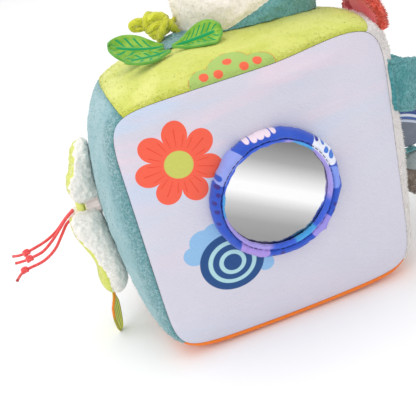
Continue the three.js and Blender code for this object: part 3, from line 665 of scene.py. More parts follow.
def cornerSeam(side, turns):
    # The angle of a corner seam from front to back; only the upper two stray
    front, halfway = strays[side]
    stray = front * np.cos(turns / 2) ** 4 + (halfway - front / 4) * np.sin(turns) ** 2
    return eighth + stray if side == "right" else 3 * eighth - stray


def sideSurface(name):
    # One side of the block as rows from the front seam to the back seam
    kind = panels[name]
    gap, slack = panelSet["turnGap"], panelSet["cornerGap"]
    turns = gap + (math.pi - 2 * gap) * eased(panelSet["rows"], 1.3)
    start, end = kind["start"] + 0 * turns, kind["start"] + quarter + 0 * turns
    if name in ("right_panel", "top_panel"):
        (end if name == "right_panel" else start)[:] = cornerSeam("right", turns)
    if name in ("left_panel", "top_panel"):
        (start if name == "left_panel" else end)[:] = cornerSeam("left", turns)
    share = eased(panelSet["columns"], 1.9)[None, :]
    angles = (start + slack)[:, None] * (1 - share) + (end - slack)[:, None] * share
    grid = settle(bandPoint(angles, turns[:, None]))
    normal = gridNormals(grid, awayFrom=(0, 0, block["centreHeight"]))
    fromFront, across = lengths(grid, 0), lengths(grid, 1)
    toBack = fromFront[-1:] - fromFront
    toSide = np.minimum(across, across[:, -1:] - across)
    away = np.minimum(np.minimum(fromFront, toBack), toSide)
    along = np.where(np.minimum(fromFront, toBack) < toSide, across, fromFront)
    relief = seamRelief(grid, away, along, kind["seed"])
    soft = kind["lumps"] * layeredNoise(grid, kind["cell"], kind["seed"], 3) * np.clip(away / 6, 0, 1)
    if name == "bottom_panel":
        hem = np.exp(-((fromFront - panelSet["hemAt"]) / panelSet["hemWidth"]) ** 2)
        soft = soft + panelSet["hemHeight"] * hem * np.clip(toSide / 12, 0, 1)
    # Nothing is raised where the block stands on the floor
    resting = np.clip((grid[..., 2] - 0.3) / panelSet["restRise"], 0, 1)
    grid = grid + normal * ((relief + soft) * resting)[..., None]
    grid[..., 2] = np.maximum(grid[..., 2], 0)
    place = np.stack([across - across[:, -1:] / 2, fromFront, away], -1)
    return grid, normal, place


def makeSidePanel(name, material):
    grid, normal, place = sideSurface(name)
    inner = grid - normal * block["fabric"]
    inner[..., 2] = np.maximum(inner[..., 2], 0.4)
    piece = slabMesh(name.replace("_panel", "") + "Side", grid, inner, place)
    dress(piece, "block", panels[name]["slot"], material, name)
    declareSheet(piece, grid)
    return grid, normal, place


def declareSheet(piece, grid):
    # The cloth's cut is as wide and as long as its widest row and longest column
    across, along = lengths(grid, 1)[:, -1].max() * mm, lengths(grid, 0)[-1].max() * mm
    one = np.linalg.norm(np.cross(grid[1:, :-1] - grid[:-1, :-1], grid[:-1, 1:] - grid[:-1, :-1]), axis=-1)
    two = np.linalg.norm(np.cross(grid[1:, :-1] - grid[1:, 1:], grid[:-1, 1:] - grid[1:, 1:]), axis=-1)
    area = float((one + two).sum() / 2) * mm * mm
    area = min(area, across * along)
    print("sheet", piece.name, round(across, 4), round(along, 4), round(area, 6))


facePanels = {
    "front_panel": {"back": False, "slot": "lilac_satin", "waves": 0.8, "cell": 34, "seed": 31, "folds": (
        (-8, 140, 54, 141, 1.2, 3.6), (-4, 132, 62, 132, -0.8, 4), (-64, 134, -34, 141, 0.8, 4),
        (42, 108, 66, 86, 0.7, 6), (-60, 30, -40, 12, 0.8, 7), (40, 18, 64, 30, 0.7, 7))},
    "back_panel": {"back": True, "slot": "blue_cotton", "waves": 0.9, "cell": 32, "seed": 32, "folds": (
        (-50, 110, 10, 122, 0.9, 6), (12, 40, 50, 26, 0.9, 7))},
}


def faceSurface(name):
    # The domed front or back as rings from its middle to its seam
    kind = facePanels[name]
    angles = np.concatenate([start + quarter * eased(91, 1.7)[:-1] for start in (
        -eighth, eighth, 3 * eighth, 5 * eighth)])
    outs = quarter * np.linspace(0.01, 1, 100) ** 0.85
    grid = facePoint(angles[None, :], outs[:, None], kind["back"])
    normal = gridNormals(grid, wrapColumns=True, awayFrom=(0, 0, block["centreHeight"]))
    fromMiddle = lengths(grid, 0)
    away = fromMiddle[-1:] - fromMiddle
    ring = np.concatenate([grid[-1:], grid[-1:, :1]], 1)
    along = lengths(ring, 1)[:, :-1] + np.zeros_like(away)
    relief = seamRelief(grid, away, along, kind["seed"])
    waves = kind["waves"] * layeredNoise(grid, kind["cell"], kind["seed"], 2) * np.clip(away / 14, 0, 1)
    for x0, z0, x1, z1, height, width in kind["folds"]:
        # A long soft fold: a ridge round a straight line, fading out at its two ends
        line = np.array([x1 - x0, z1 - z0])
        px, pz = grid[..., 0] - x0, grid[..., 2] - z0
        share = (px * line[0] + pz * line[1]) / (line @ line)
        aside = (px * line[1] - pz * line[0]) / np.linalg.norm(line)
        bow = 3 * np.sin(np.pi * share)
        fade = np.exp(-((share - 0.5) / 0.42) ** 4)
        waves = waves + height * np.exp(-((aside - bow) / width) ** 2) * fade
    grid = grid + normal * (relief + waves * np.clip(away / 8, 0, 1))[..., None]
    place = np.stack([along, fromMiddle, away], -1)
    return grid, normal, place


domeShare = 1.03  # how much wider and taller a face's cloth is cut than the face, for its dome


def makeFacePanel(name, material):
    grid, normal, place = faceSurface(name)
    rings = np.concatenate([grid, (grid - normal * block["fabric"])[::-1]])
    both = np.concatenate([place, place[::-1]])
    piece = loftMesh(name.replace("_panel", "") + "Face", rings, both)
    dress(piece, "block", facePanels[name]["slot"], material, name)
    wide = float(np.ptp(grid[..., 0])) * mm * domeShare
    tall = float(np.ptp(grid[..., 2])) * mm * domeShare
    ring = np.concatenate([grid, grid[:, :1]], 1)
    area = np.linalg.norm(np.cross(ring[1:, :-1] - ring[:-1, :-1], ring[:-1, 1:] - ring[:-1, :-1]), axis=-1)
    area = min(float(area.sum()) * mm * mm, wide * tall)
    print("sheet", piece.name, round(wide, 4), round(tall, 4), round(area, 6))


core = {"gap": 1.2, "floor": 1.0}


def makeCore(material):
    # The filling, a little inside the cover all round
    angles = fullTurn(96)
    turns = np.linspace(0.0, np.pi, 48)
    outs = quarter * np.linspace(0.05, 0.95, 12)
    shrink = -block["fabric"] - core["gap"]
    rings = np.concatenate([
        facePoint(angles[None, :], outs[:, None], False, shrink),
        bandPoint(angles[None, :], turns[:, None], shrink),
        facePoint(angles[None, :], outs[::-1, None], True, shrink),
    ])
    rings[..., 2] = np.maximum(rings[..., 2], core["floor"])
    piece = loftMesh("coreFilling", rings, np.zeros_like(rings))
    dress(piece, "block", "foam_white", material, "foam_core")


# Finishes

def velour(name, light, dark, crushedAndShade, bandReach=0.0, prints=None):
    # Short pile: smooth and pale where brushed, darker and grainy in a band along the front seam; darker by
    # each seam, crushed pile with painted shade
    s = Shader(name)
    _, fromFront, away = s.clothPlace()
    brushed = s.noise(42, 4, 0.55, 0.8)
    grain = s.noise(1150, 2, 0.55)
    colour = s.mix(s.step(brushed * 0.75 + grain * 0.25, 0.36, 0.62), dark, light)
    # Partly painted shade, partly crushed pile: half way to the dark tone within a millimetre or two of each
    # seam
    colour = s.mix(s.below(away, 1.0, 1.6) * 0.5, colour, crushedAndShade)
    height = grain * 0.7
    if bandReach:
        edge = fromFront + (s.noise(60, 2, 0.5) - 0.5) * bandReach
        band = s.below(edge, bandReach, bandReach * 0.45)
        speck = s.step(s.noise(820, 2, 0.6, 0.5), 0.36, 0.62)
        colour = s.mix(band * (1 - speck) * 0.62, colour, crushedAndShade)
        height = height + band * speck * 1.4
    if prints:
        colour = prints(s, colour)
    return s.principled(colour, 0.85, s.bump(height, 0.5, 0.0006), Sheen_Weight=0.25, Sheen_Roughness=0.4,
                        Specular_IOR_Level=0.12)


def pileFinish(name, light, dark, crushedAndShade):
    # The spikes of the pile: darker at the root than at the tip, painted shade among the fibres
    s = Shader(name)
    _, _, tip = s.clothPlace()
    patch = s.noise(420, 2, 0.6)
    colour = s.mix(s.step(patch, 0.3, 0.7), dark, light)
    # Painted shade: the roots take the darker tone
    colour = s.mix((1 - tip) * 0.4, colour, crushedAndShade)
    return s.principled(colour, 0.9, None, Sheen_Weight=0.25, Sheen_Roughness=0.45, Specular_IOR_Level=0.1)


# pink and blue are the tones of the painted sheen streaks
satinSet = {"base": "cdcbd9", "pink": "dfcbd9", "blue": "c0cfe6", "thread": "f4f2fa"}


def satin(name, prints):
    # Thin shimmering satin: faint pink and blue streaks of painted sheen in its colour, rising to the right
    # and strongest near the top left, a fine slanted twill and printed shapes
    s = Shader(name)
    x, _, z = s.objectPlace()
    where = s.add("Mapping", {}, {"Vector": s.add("TexCoord", output="Object"), "Rotation": (0, 0.42, 0),
                                  "Scale": (0.35, 0.5, 1.6)}, "Vector")
    other = s.add("Mapping", {}, {"Vector": where, "Location": (0.3, 0.1, 0.2)}, "Vector")
    # Painted sheen: the streaks are strongest high up and to the left
    high = (s.step(z, 70, 128) * 0.75 + 0.25) * (1 - s.step(x, 5, 55) * 0.65)
    rosySheen = s.step(s.noise(34, 3, 0.5, 0.6, where), 0.46, 0.64)
    bluishSheen = s.step(s.noise(30, 3, 0.5, 0.6, other), 0.48, 0.66)
    colour = s.mix(rosySheen * high, satinSet["base"], satinSet["pink"])
    colour = s.mix(bluishSheen * high, colour, satinSet["blue"])
    twill = s.apply("SINE", (x + z) * 4.4) * 0.5 + 0.5
    cross = s.apply("SINE", (x - z) * 7.6) * 0.5 + 0.5
    fine = s.noise(1500, 2, 0.6)
    colour = s.mix(twill * 0.28 * s.noise(40, 2) + fine * 0.12, colour, satinSet["thread"])
    colour = prints(s, colour, x, z)
    height = twill * 0.6 + cross * 0.3 + fine * 0.5
    return s.principled(colour, 0.42, s.bump(height, 0.35, 0.0003), Sheen_Weight=0.08,
                        Sheen_Roughness=0.35, Specular_IOR_Level=0.25)


frontPrint = {
    "daisy": (-44.0, 113.0), "daisyReach": 21.5, "petalCount": 7, "daisyTurn": 0.35, "heartRadius": 7.0,
    "petalTone": "f4624a", "lineTone": "e8452f", "heartTone": "c9cc62",
    "ball": (-31.0, 52.5), "ballRadius": 17.0, "ballTone": "1f4c86",
    "rings": (6.0, 11.6), "ringHalf": 1.15, "ringTone": "aed8de",
    "cloud": ((-42.5, 68.0, 7.5), (-49.0, 62.0, 5.5), (-36.0, 71.5, 6.0), (-14.0, 45.0, 4.5)),
    "cloudTone": "8fbce4",
}
topPrint = {
    "mounds": ((-20.5, 1.0, 8.0), (-7.0, 4.5, 11.0), (6.5, 1.0, 8.0)),
    "berries": ((-20.5, 4.2), (-7.0, 9.0), (6.5, 4.2), (-13.5, 3.4), (-0.5, 3.4)), "berry": 2.3,
    "leafTone": "a9c46c", "berryTone": "ee6a4e", "outlineTone": "c98d4a", "paintedShadeTone": "c2c858",
}


def distanceFrom(x, z, centre):
    # How far two wires lie from a centre
    dx, dz = x - centre[0], z - centre[1]
    return (dx * dx + dz * dz) ** 0.5


def roundShape(s, x, z, shape):
    # 1 inside a circle, given as the two places of its centre and its radius
    return s.below(distanceFrom(x, z, shape), shape[2])


def anyOf(masks):
    total = masks[0]
    for mask in masks[1:]:
        total = total.math("MAXIMUM", mask)
    return total


def printFront(s, colour, x, z):
    # A coral daisy with a lime heart, and a navy ball with pale rings before a small cloud
    kind = frontPrint
    cloud = anyOf([roundShape(s, x, z, shape) for shape in kind["cloud"]])
    colour = s.mix(cloud, colour, kind["cloudTone"])
    away = distanceFrom(x, z, kind["ball"])
    colour = s.mix(s.below(away, kind["ballRadius"]), colour, kind["ballTone"])
    for ring in kind["rings"]:
        colour = s.mix(s.below(abs(away - ring), kind["ringHalf"]), colour, kind["ringTone"])
    cx, cz = kind["daisy"]
    away = distanceFrom(x, z, kind["daisy"])
    angle = s.apply("ARCTAN2", z - cz, x - cx) + kind["daisyTurn"]
    lobe = abs(s.apply("COSINE", angle * (kind["petalCount"] / 2))) ** 0.55
    edge = kind["daisyReach"] * (lobe * 0.42 + 0.58)
    petal = s.below(away - edge, 0.0)
    colour = s.mix(petal, colour, kind["petalTone"])
    line = s.below(abs(s.apply("SINE", angle * kind["petalCount"] * 1.5)), 0.16, 0.08)
    heart = kind["heartRadius"]
    inside = s.step(away, heart + 1.5, heart + 2.2) * s.below(away, edge - 4.0, 0.5)
    colour = s.mix(line * inside * petal, colour, kind["lineTone"])
    return s.mix(s.below(away, heart), colour, kind["heartTone"])


def printTop(s, colour):
    # A green bush of three rounds with coral berries, standing on the front seam. Painted shade: the velour
    # round it darkens to the right
    x, _, _ = s.objectPlace()
    _, fromFront, _ = s.clothPlace()
    kind = topPrint
    bush = anyOf([roundShape(s, x, fromFront, shape) for shape in kind["mounds"]])
    rim = anyOf([roundShape(s, x, fromFront, (a, b, r + 0.5)) for a, b, r in kind["mounds"]])
    dash = s.step(s.apply("SINE", x * 0.9 + fromFront * 0.5), -0.1, 0.3)
    # Painted shade: the top darkens towards its right
    colour = s.mix(s.step(x, -56, 0) * 0.4, colour, kind["paintedShadeTone"])
    colour = s.mix(rim * dash * 0.75, colour, kind["outlineTone"])
    colour = s.mix(bush, colour, kind["leafTone"])
    berries = anyOf([roundShape(s, x, fromFront, (a, b, kind["berry"])) for a, b in kind["berries"]])
    return s.mix(berries, colour, kind["berryTone"])


def bushMask(points, fromFront):
    # 1 outside the printed bush and 0 on it, where the nap is pressed flat
    inside = np.zeros(points.shape[:-1], bool)
    for a, b, r in topPrint["mounds"]:
        inside |= (points[..., 0] - a) ** 2 + (fromFront - b) ** 2 < (r + 0.4) ** 2
    return 1 - inside


# The mirror and its rolled ring

mirror = {
    "right": -1.6, "up": 83.0, "sides": 360,
    "profile": [(32.7, -61.6), (33.7, -63.6), (34.0, -66.2), (33.3, -68.8), (32.2, -70.2), (31.0, -70.7),
                (30.1, -70.3), (29.6, -69.3), (29.1, -69.9), (28.4, -69.9), (27.6, -69.1), (27.2, -67.9),
                (27.4, -67.1), (28.5, -67.0), (29.6, -66.4), (30.2, -64.6), (30.6, -62.4)],
    "corners": ((-52, 1.9, 5), (-12, 1.1, 6), (24, 1.0, 8), (120, 0.5, 14), (-118, 0.6, 12)),
    "folds": 0.42, "foldRadius": 34,
}


def makeRing(material):
    # The rolled binding: a hem with a stitch groove and a narrow inner lip, carried round the mirror
    profile = smoothRoute([(r, y, 0) for r, y in mirror["profile"]], 84, closed=True)[:, :2]
    theta = np.linspace(-np.pi, np.pi, mirror["sides"], endpoint=False)
    r, y = profile[:, :1] + 0 * theta, profile[:, 1:] + 0 * theta
    outer = np.clip((r - 29) / 5, 0, 1)
    for degrees, height, width in mirror["corners"]:
        away = (np.degrees(theta) - degrees + 180) % 360 - 180
        r = r + outer * height * np.exp(-np.abs(away) / width)
    reach = mirror["foldRadius"]
    around = np.stack([np.cos(theta) * reach, np.sin(theta) * reach, theta * 0], -1)
    wave = layeredNoise(around[None] + np.stack([0 * r, 0 * r, r * 2.2], -1), 5, 51, 3)
    crease = np.abs(layeredNoise(around[None] + np.stack([0 * r, 0 * r, y * 1.2], -1), 9, 57, 2))
    r = r + mirror["folds"] * wave * 0.8
    y = y + mirror["folds"] * (wave - 1.2 * np.exp(-(crease / 0.08) ** 2))
    grid = np.stack([mirror["right"] + r * np.cos(theta), y, mirror["up"] + r * np.sin(theta)], -1)
    along = lengths(np.concatenate([profile, profile[:1]])[:, None], 0)[:-1]
    place = np.stack(np.broadcast_arrays(theta[None] * reach, along, r), -1)
    faces = gridFaces(*grid.shape[:2], wrapRows=True, wrapColumns=True)
    piece = makeMesh("mirrorRing", grid, [faces], place)
    dress(piece, "block", "blue_binding", material, "mirror_binding")


# The rounds and dots on the ring by their tone: the angle in degrees, the distance from the middle
# and the radius of each
ringRounds = {
    "8f9ee6": ((128, 30.5, 6.2), (140, 31.5, 5.2)),
    "e9ecf8": ((24, 32.5, 6.5), (35, 33.0, 5.5)),
    "a98fe0": ((-131, 29.0, 6.0), (-120, 30.5, 5.0)),
    "9a8fe2": ((-52, 31.0, 6.5),),
    "7f97ea": ((4, 29.8, 3.8), (-6, 29.5, 3.4)),
    "3a2f86": ((151, 32.6, 1.3), (158, 31.6, 1.1), (166, 32.8, 1.0), (174, 32.0, 1.2), (-174, 32.6, 1.0),
               (-34, 32.6, 1.2), (-28, 31.4, 0.9), (-98, 31.6, 1.2), (-106, 33.0, 1.0)),
    "2a2f9a": ((42, 33.6, 1.2),),
    "2a55c0": ((144, 33.2, 1.4),),
    "3b78d8": ((22, 33.0, 2.0), (29, 32.2, 1.5), (35, 34.2, 1.4)),
    "ecd9e6": ((94, 34.2, 2.2), (100, 33.6, 1.6), (88, 33.6, 1.6), (106, 34.3, 1.4), (82, 34.3, 1.4)),
}


def ringFinish():
    # Royal blue cotton with rounds of lilac, white and sky, dark dots, and a dark line of stitches
    s = Shader("ringCotton")
    x, _, z = s.objectPlace()
    r = distanceFrom(x, z, (mirror["right"], mirror["up"]))
    weave = s.noise(1700, 2, 0.6)
    colour = s.mix(s.noise(120, 2, 0.6), "2049b8", "345ccb")
    for tone, rounds in ringRounds.items():
        for degrees, radius, size in rounds:
            angle = math.radians(degrees)
            cx = mirror["right"] + radius * math.cos(angle)
            cz = mirror["up"] + radius * math.sin(angle)
            colour = s.mix(roundShape(s, x, z, (cx, cz, size)), colour, tone)
    turn = s.apply("ARCTAN2", z - mirror["up"], x - mirror["right"])
    lipShade = s.step(s.apply("SINE", turn * 2.0 + 0.7) + s.noise(60, 2) * 0.6, 0.1, 0.5)
    lip = s.mix(lipShade, "3d63d8", "a99be6")
    skyShade = s.step(s.apply("SINE", turn * 3.0 - 1.1), 0.72, 0.86)
    lip = s.mix(skyShade, lip, "49a6e6")
    colour = s.mix(s.below(r, 28.9, 0.3), colour, lip)
    stitch = s.below(abs(r - 29.45), 0.22, 0.12) * s.step(s.apply("SINE", turn * 62.0), -0.75, -0.45)
    colour = s.mix(stitch * 0.85, colour, "1b2c5e")
    height = weave * 0.5 - stitch * 0.8
    return s.principled(colour, 0.6, s.bump(height, 0.4, 0.0004), Sheen_Weight=0.2, Specular_IOR_Level=0.25)


# The tones of the painted reflection, from one edge of the mirror to the other
paintedReflectionBands = ((0.0, "949494"), (0.16, "9f9f9f"), (0.32, "c2c2c2"), (0.45, "efefef"),
               (0.54, "efefef"), (0.64, "dadada"), (0.8, "a2a2a2"), (1.0, "7a7a7a"))


def mirrorFinish():
    # Mirror film: soft bands of grey and white, a painted reflection in its colour; the film lies slightly
    # uneven in its bump
    s = Shader("mirrorFilm")
    x, _, z = s.objectPlace()
    # Painted reflection: a slanted line across the disc picks the band
    across = ((z - mirror["up"] - 1.5) * 0.9 + (x - mirror["right"]) * 0.52) / 26.0
    band = s.add("ValToRGB", {"stops": paintedReflectionBands}, {"Fac": across * 0.5 + 0.5}, "Color")
    ripple = s.noise(22, 1, 0.4)
    return s.principled(band, 0.12, s.bump(ripple, 0.12, 0.001), Metallic=1.0)


def feltFinish():
    s = Shader("feltPad")
    fibre = s.noise(900, 4, 0.7, 1.5)
    colour = s.mix(fibre, "86868c", "a9a9b0")
    return s.principled(colour, 0.95, s.bump(fibre, 0.5, 0.0005), Sheen_Weight=0.3)


def foamFinish():
    s = Shader("fillingFoam")
    pores = s.noise(1100, 3, 0.6)
    return s.principled(s.mix(pores, "e9dfc4", "f5eedb"), 0.95, s.bump(pores, 0.4, 0.0004))


def wovenFinish(name, light, dark):
    # Plain woven cotton: two crossed sets of threads and a little unevenness
    s = Shader(name)
    x, y, z = s.objectPlace()
    warp = s.apply("SINE", (x + y * 0.3) * 9.0)
    weft = s.apply("SINE", (z + y * 0.8) * 9.0)
    patch = s.noise(90, 3, 0.6)
    colour = s.mix(patch, dark, light)
    return s.principled(colour, 0.85, s.bump(warp * weft * 0.5 + patch * 0.4, 0.4, 0.0003), Sheen_Weight=0.25,
                        Specular_IOR_Level=0.2)


# Leaves

leafCloth = {
    "thickness": 1.6, "joinX": -26, "joinY": -19, "endShare": 0.03, "clearance": 1.2,
    "dark": "68a52e", "light": "98c44c", "rib": "129a58", "border": "4aa253",
}
leaves = {
    "leaf_left": {
        "length": 28, "half": 9.5, "heading": 172, "climb": 15, "tilt": 34, "sag": 2, "cup": 1.5,
        "ahead": 2.4, "aside": 3.5, "lift": 1.5, "veins": 5, "fullness": 1.25, "waist": 0.45},
    "leaf_front": {
        "length": 25, "half": 5.0, "heading": 192, "climb": 7, "tilt": 22, "sag": 1, "cup": 1,
        "ahead": 1, "aside": -5.2, "lift": 1.6, "veins": 4, "fullness": 1.2, "waist": 0.5},
    "leaf_right": {
        "length": 26, "half": 7.8, "heading": -17, "climb": 7, "tilt": 52, "sag": 1.5, "cup": 1.2,
        "ahead": 0.6, "aside": -4.2, "lift": 3.2, "veins": 8, "fullness": 1.7, "waist": 0.5},
}


def leafHalf(half, u, endShare, fullness=1.15):
    # Narrow where it is sewn and round at its tip; a larger fullness carries the widest part outwards
    return half * np.sqrt(np.maximum(0, np.sin(np.pi * (endShare + (0.9995 - endShare) * u) ** fullness)))


def clothSlab(pointAt, rows, columns, thickness, edgeShare=0.35, ripple=0.0, seed=1):
    # A sheet of cloth over a surface of u from 0 to 1 and v from -1 to 1, thinner at its rim
    u = np.linspace(0, 1, rows)[:, None] + np.zeros((1, columns))
    v = np.zeros((rows, 1)) + np.linspace(-1, 1, columns)[None]
    grid = pointAt(u, v)
    normal = gridNormals(grid)
    grid = grid + normal * (ripple * layeredNoise(grid, 7, seed, 2))[..., None]
    rim = np.minimum(np.minimum(u, 1 - u) * rows / 3, (1 - np.abs(v)) * columns / 5)
    half = thickness / 2 * (edgeShare + (1 - edgeShare) * np.clip(rim, 0, 1) ** 0.5)
    place = np.stack([u, v, u * 0], -1)
    return grid + normal * half[..., None], grid - normal * half[..., None], place, grid


def makeLeaf(name, material):
    kind = leaves[name]
    heading, climb, tilt = (math.radians(kind[k]) for k in ("heading", "climb", "tilt"))
    along = np.array([math.cos(heading) * math.cos(climb), math.sin(heading) * math.cos(climb),
                      math.sin(climb)])
    aside = unit(np.cross([0, 0, 1], along))
    aside = aside * np.sign(aside[1])
    steep = np.cross(along, aside)
    steep = steep * np.sign(steep[2])
    across = aside * math.cos(tilt) + steep * math.sin(tilt)
    normal = unit(np.cross(along, across))
    normal = normal * np.sign(normal[2])
    height = float(topHeight(leafCloth["joinX"], leafCloth["joinY"])) + kind["lift"]
    join = np.array([leafCloth["joinX"], leafCloth["joinY"] + kind["aside"], height])
    root = join + along * kind["ahead"]

    def pointAt(u, v):
        half = leafHalf(kind["half"], u, leafCloth["endShare"], kind["fullness"]) * v
        half = half * (1 - kind["waist"] * np.exp(-(u / 0.3) ** 2))
        lift = kind["cup"] * v * v - kind["sag"] * np.sin(np.pi * u) + 0.5 * np.exp(-(v / 0.12) ** 2) - 0.4
        point = root + along * (kind["length"] * u)[..., None] + across * half[..., None]
        point = point + normal * lift[..., None]
        floor = topHeight(point[..., 0], point[..., 1]) + leafCloth["clearance"]
        point[..., 2] = np.maximum(point[..., 2], floor)
        return point

    top, bottom, place, grid = clothSlab(pointAt, 90, 48, leafCloth["thickness"], ripple=0.16, seed=61)
    piece = slabMesh(name.replace("_", "Cloth"), top, bottom, place)
    dress(piece, name, "leaf_cloth", material, name)
    declareSheet(piece, grid)


def leafFinish(name, length, half, veins):
    # Printed cotton: darker ribs off a middle rib, a darker border and a fine line of stitches
    s = Shader(name)
    u, v, _ = s.clothPlace()
    patch = s.noise(160, 3, 0.6)
    colour = s.mix(s.step(patch, 0.3, 0.7), leafCloth["dark"], leafCloth["light"])
    middle = s.below(abs(v), 0.075, 0.025) * s.below(u, 0.86, 0.02)
    slant = (u * length - abs(v) * half * 0.75) / length
    comb = s.apply("PINGPONG", slant * (veins + 1), 0.5)
    rib = s.below(comb, 0.15, 0.03) * s.step(abs(v), 0.12, 0.16) * s.below(abs(v), 0.78, 0.03)
    rib = rib * s.step(slant, 0.06, 0.1) * s.below(slant, 0.84, 0.03)
    colour = s.mix(anyOf([middle, rib]), colour, leafCloth["rib"])
    border = s.step(abs(v), 0.94, 0.97)
    colour = s.mix(border * 0.6, colour, leafCloth["border"])
    weave = s.noise(1800, 2, 0.6)
    stitch = s.below(abs(abs(v) - 0.88), 0.02, 0.012)
    height = weave * 0.4 - stitch * 0.5 + patch * 0.3
    return s.principled(colour, 0.8, s.bump(height, 0.4, 0.0004), Sheen_Weight=0.25, Specular_IOR_Level=0.2)


# Knotted cords at the heart of the flower

stamens = {
    "radius": 0.84, "knotAt": 1.7, "wrapReach": 0.45, "wrapRise": 1.35, "strand": 0.78, "flare": 0.15,
    "tailStart": 0.6, "tailEnd": {"1": 9.6, "2": 9.2, "3": 7.4}, "tailTurn": {"1": 3.6, "2": 5.5, "3": -7},
    # twist is the tone of the painted highlight along the cord's twist
    "dark": "f0343a", "light": "ff5a5a", "twist": "ff7f7a", "cut": "c22c30", "cutMark": 10,
    "routes": {
        "1": [(-99.2, -3.6, 82.4), (-104, -4.4, 79.8), (-109, -5.6, 75.8), (-115.5, -7, 70.8),
              (-122.5, -8, 66.8), (-128.7, -8.4, 65.8)],
        "2": [(-99.2, 1, 81), (-104.5, 0, 78), (-112, -2, 73), (-119, -3.4, 70.2), (-129.5, -4.4, 68.1)],
        "3": [(-99.2, -2.2, 77.8), (-104.5, -2.8, 76), (-109.5, -6, 71.8), (-115.5, -9.6, 66.6),
              (-123, -12, 63.4), (-132.8, -13.2, 62.5)],
    },
}


def makeStamen(number, material):
    # A cord along its route, then an overhand knot of the same cord with a short cut tail
    route = smoothRoute(stamens["routes"][number], 40)
    fine = smoothRoute(stamens["routes"][number], 110)
    rings, place = tubeRings(fine, stamens["radius"], 20)
    cord = loftMesh("stamenCord" + number, rings, place)
    dress(cord, "petal_lower", "coral_cord", material, "stamen_cord_" + number)
    end = fine[-1]
    ahead = unit(fine[-1] - fine[-4])
    side = unit(np.cross([0, 1, 0], ahead))
    up = np.cross(ahead, side)
    # The knot is a trefoil: x = sin t + 2 sin 2t, y = cos t - 2 cos 2t, z = -sin 3t
    t = np.linspace(0.2, 2 * np.pi + 0.12, 150) + int(number)
    reach = stamens["wrapReach"]
    local = np.stack([reach * (np.sin(t) + 2 * np.sin(2 * t)), reach * (np.cos(t) - 2 * np.cos(2 * t)),
                      stamens["wrapRise"] * -np.sin(3 * t)], -1)
    centre = end + ahead * stamens["knotAt"]
    loop = centre + local[:, :1] * side + local[:, 1:2] * up + local[:, 2:] * ahead
    wraps = tubeRings(loop, stamens["strand"], 14, hint=ahead)
    tailStart, tailEnd = stamens["tailStart"], stamens["tailEnd"][number]
    share = np.linspace(0, 1, 40)[:, None]
    sway = 0.4 * np.sin(share * 3 + int(number)) * share + stamens["tailTurn"][number] * share ** 2
    sway = sway * up
    tail = end + ahead * (tailStart + (tailEnd - tailStart) * share) + sway
    swell = stamens["strand"] * (1 + stamens["flare"] * np.clip((share[:, 0] - 0.9) / 0.1, 0, 1))
    tailRings, tailPlace = tubeRings(tail, swell, 16)
    tailPlace[..., 2] = stamens["cutMark"] + share
    knot = joinedMesh("stamenKnot" + number, [wraps, (tailRings, tailPlace)])
    dress(knot, "petal_lower", "coral_cord", material, "stamen_knot_" + number)
    tuple(route[0] * mm)
    [tuple(p) for p in route * mm]


def cordFinish():
    # Satin cord: a fine slanted twist with painted highlights along it, darker at the cut end
    s = Shader("coralCord")
    distance, around, mark = s.clothPlace()
    twist = s.apply("SINE", distance * 7.0 + around * 2.2)
    streak = s.noise(600, 3, 0.6)
    colour = s.mix(s.step(streak, 0.35, 0.7), stamens["dark"], stamens["light"])
    # Painted highlight: the paler tone follows the twist
    colour = s.mix(s.step(twist, 0.2, 1.0) * 0.3, colour, stamens["twist"])
    cut = s.step(mark, stamens["cutMark"] + 0.93, stamens["cutMark"] + 0.99)
    colour = s.mix(cut, colour, stamens["cut"])
    return s.principled(colour, 0.5, s.bump(twist, 0.5, 0.0003), Sheen_Weight=0.4, Specular_IOR_Level=0.4)


# The plush cushion

cushion = {
    "x": 24, "y": 2, "reachX": 40.4, "reachY": 26.6, "height": 51.4, "floorDepth": 8, "footShare": 0.93,
    "widestShare": 0.36, "seamRise": 8.5, "seamSlopeDeg": 20, "lumps": 0.75, "cell": 6.5, "groove": 1.3,
    "voxel": 3.6, "pressure": 3.0, "steps": 20, "cap": 1.8, "levels": 2,
}


def cushionReach(share):
    widest = cushion["widestShare"]
    lower = cushion["footShare"] + (1 - cushion["footShare"]) * np.sin(share / widest * quarter)
    upper = np.sqrt(np.maximum(0, 1 - ((share - widest) / (1 - widest)) ** 2))
    return np.where(share < widest, lower, upper)


def cushionSeam(points):
    # How far a point lies above the slanted seam
    slope = math.tan(math.radians(cushion["seamSlopeDeg"]))
    seam = topCrown + cushion["seamRise"] + slope * (points[..., 0] - cushion["x"])
    return (points[..., 2] - seam) * math.cos(math.radians(cushion["seamSlopeDeg"]))


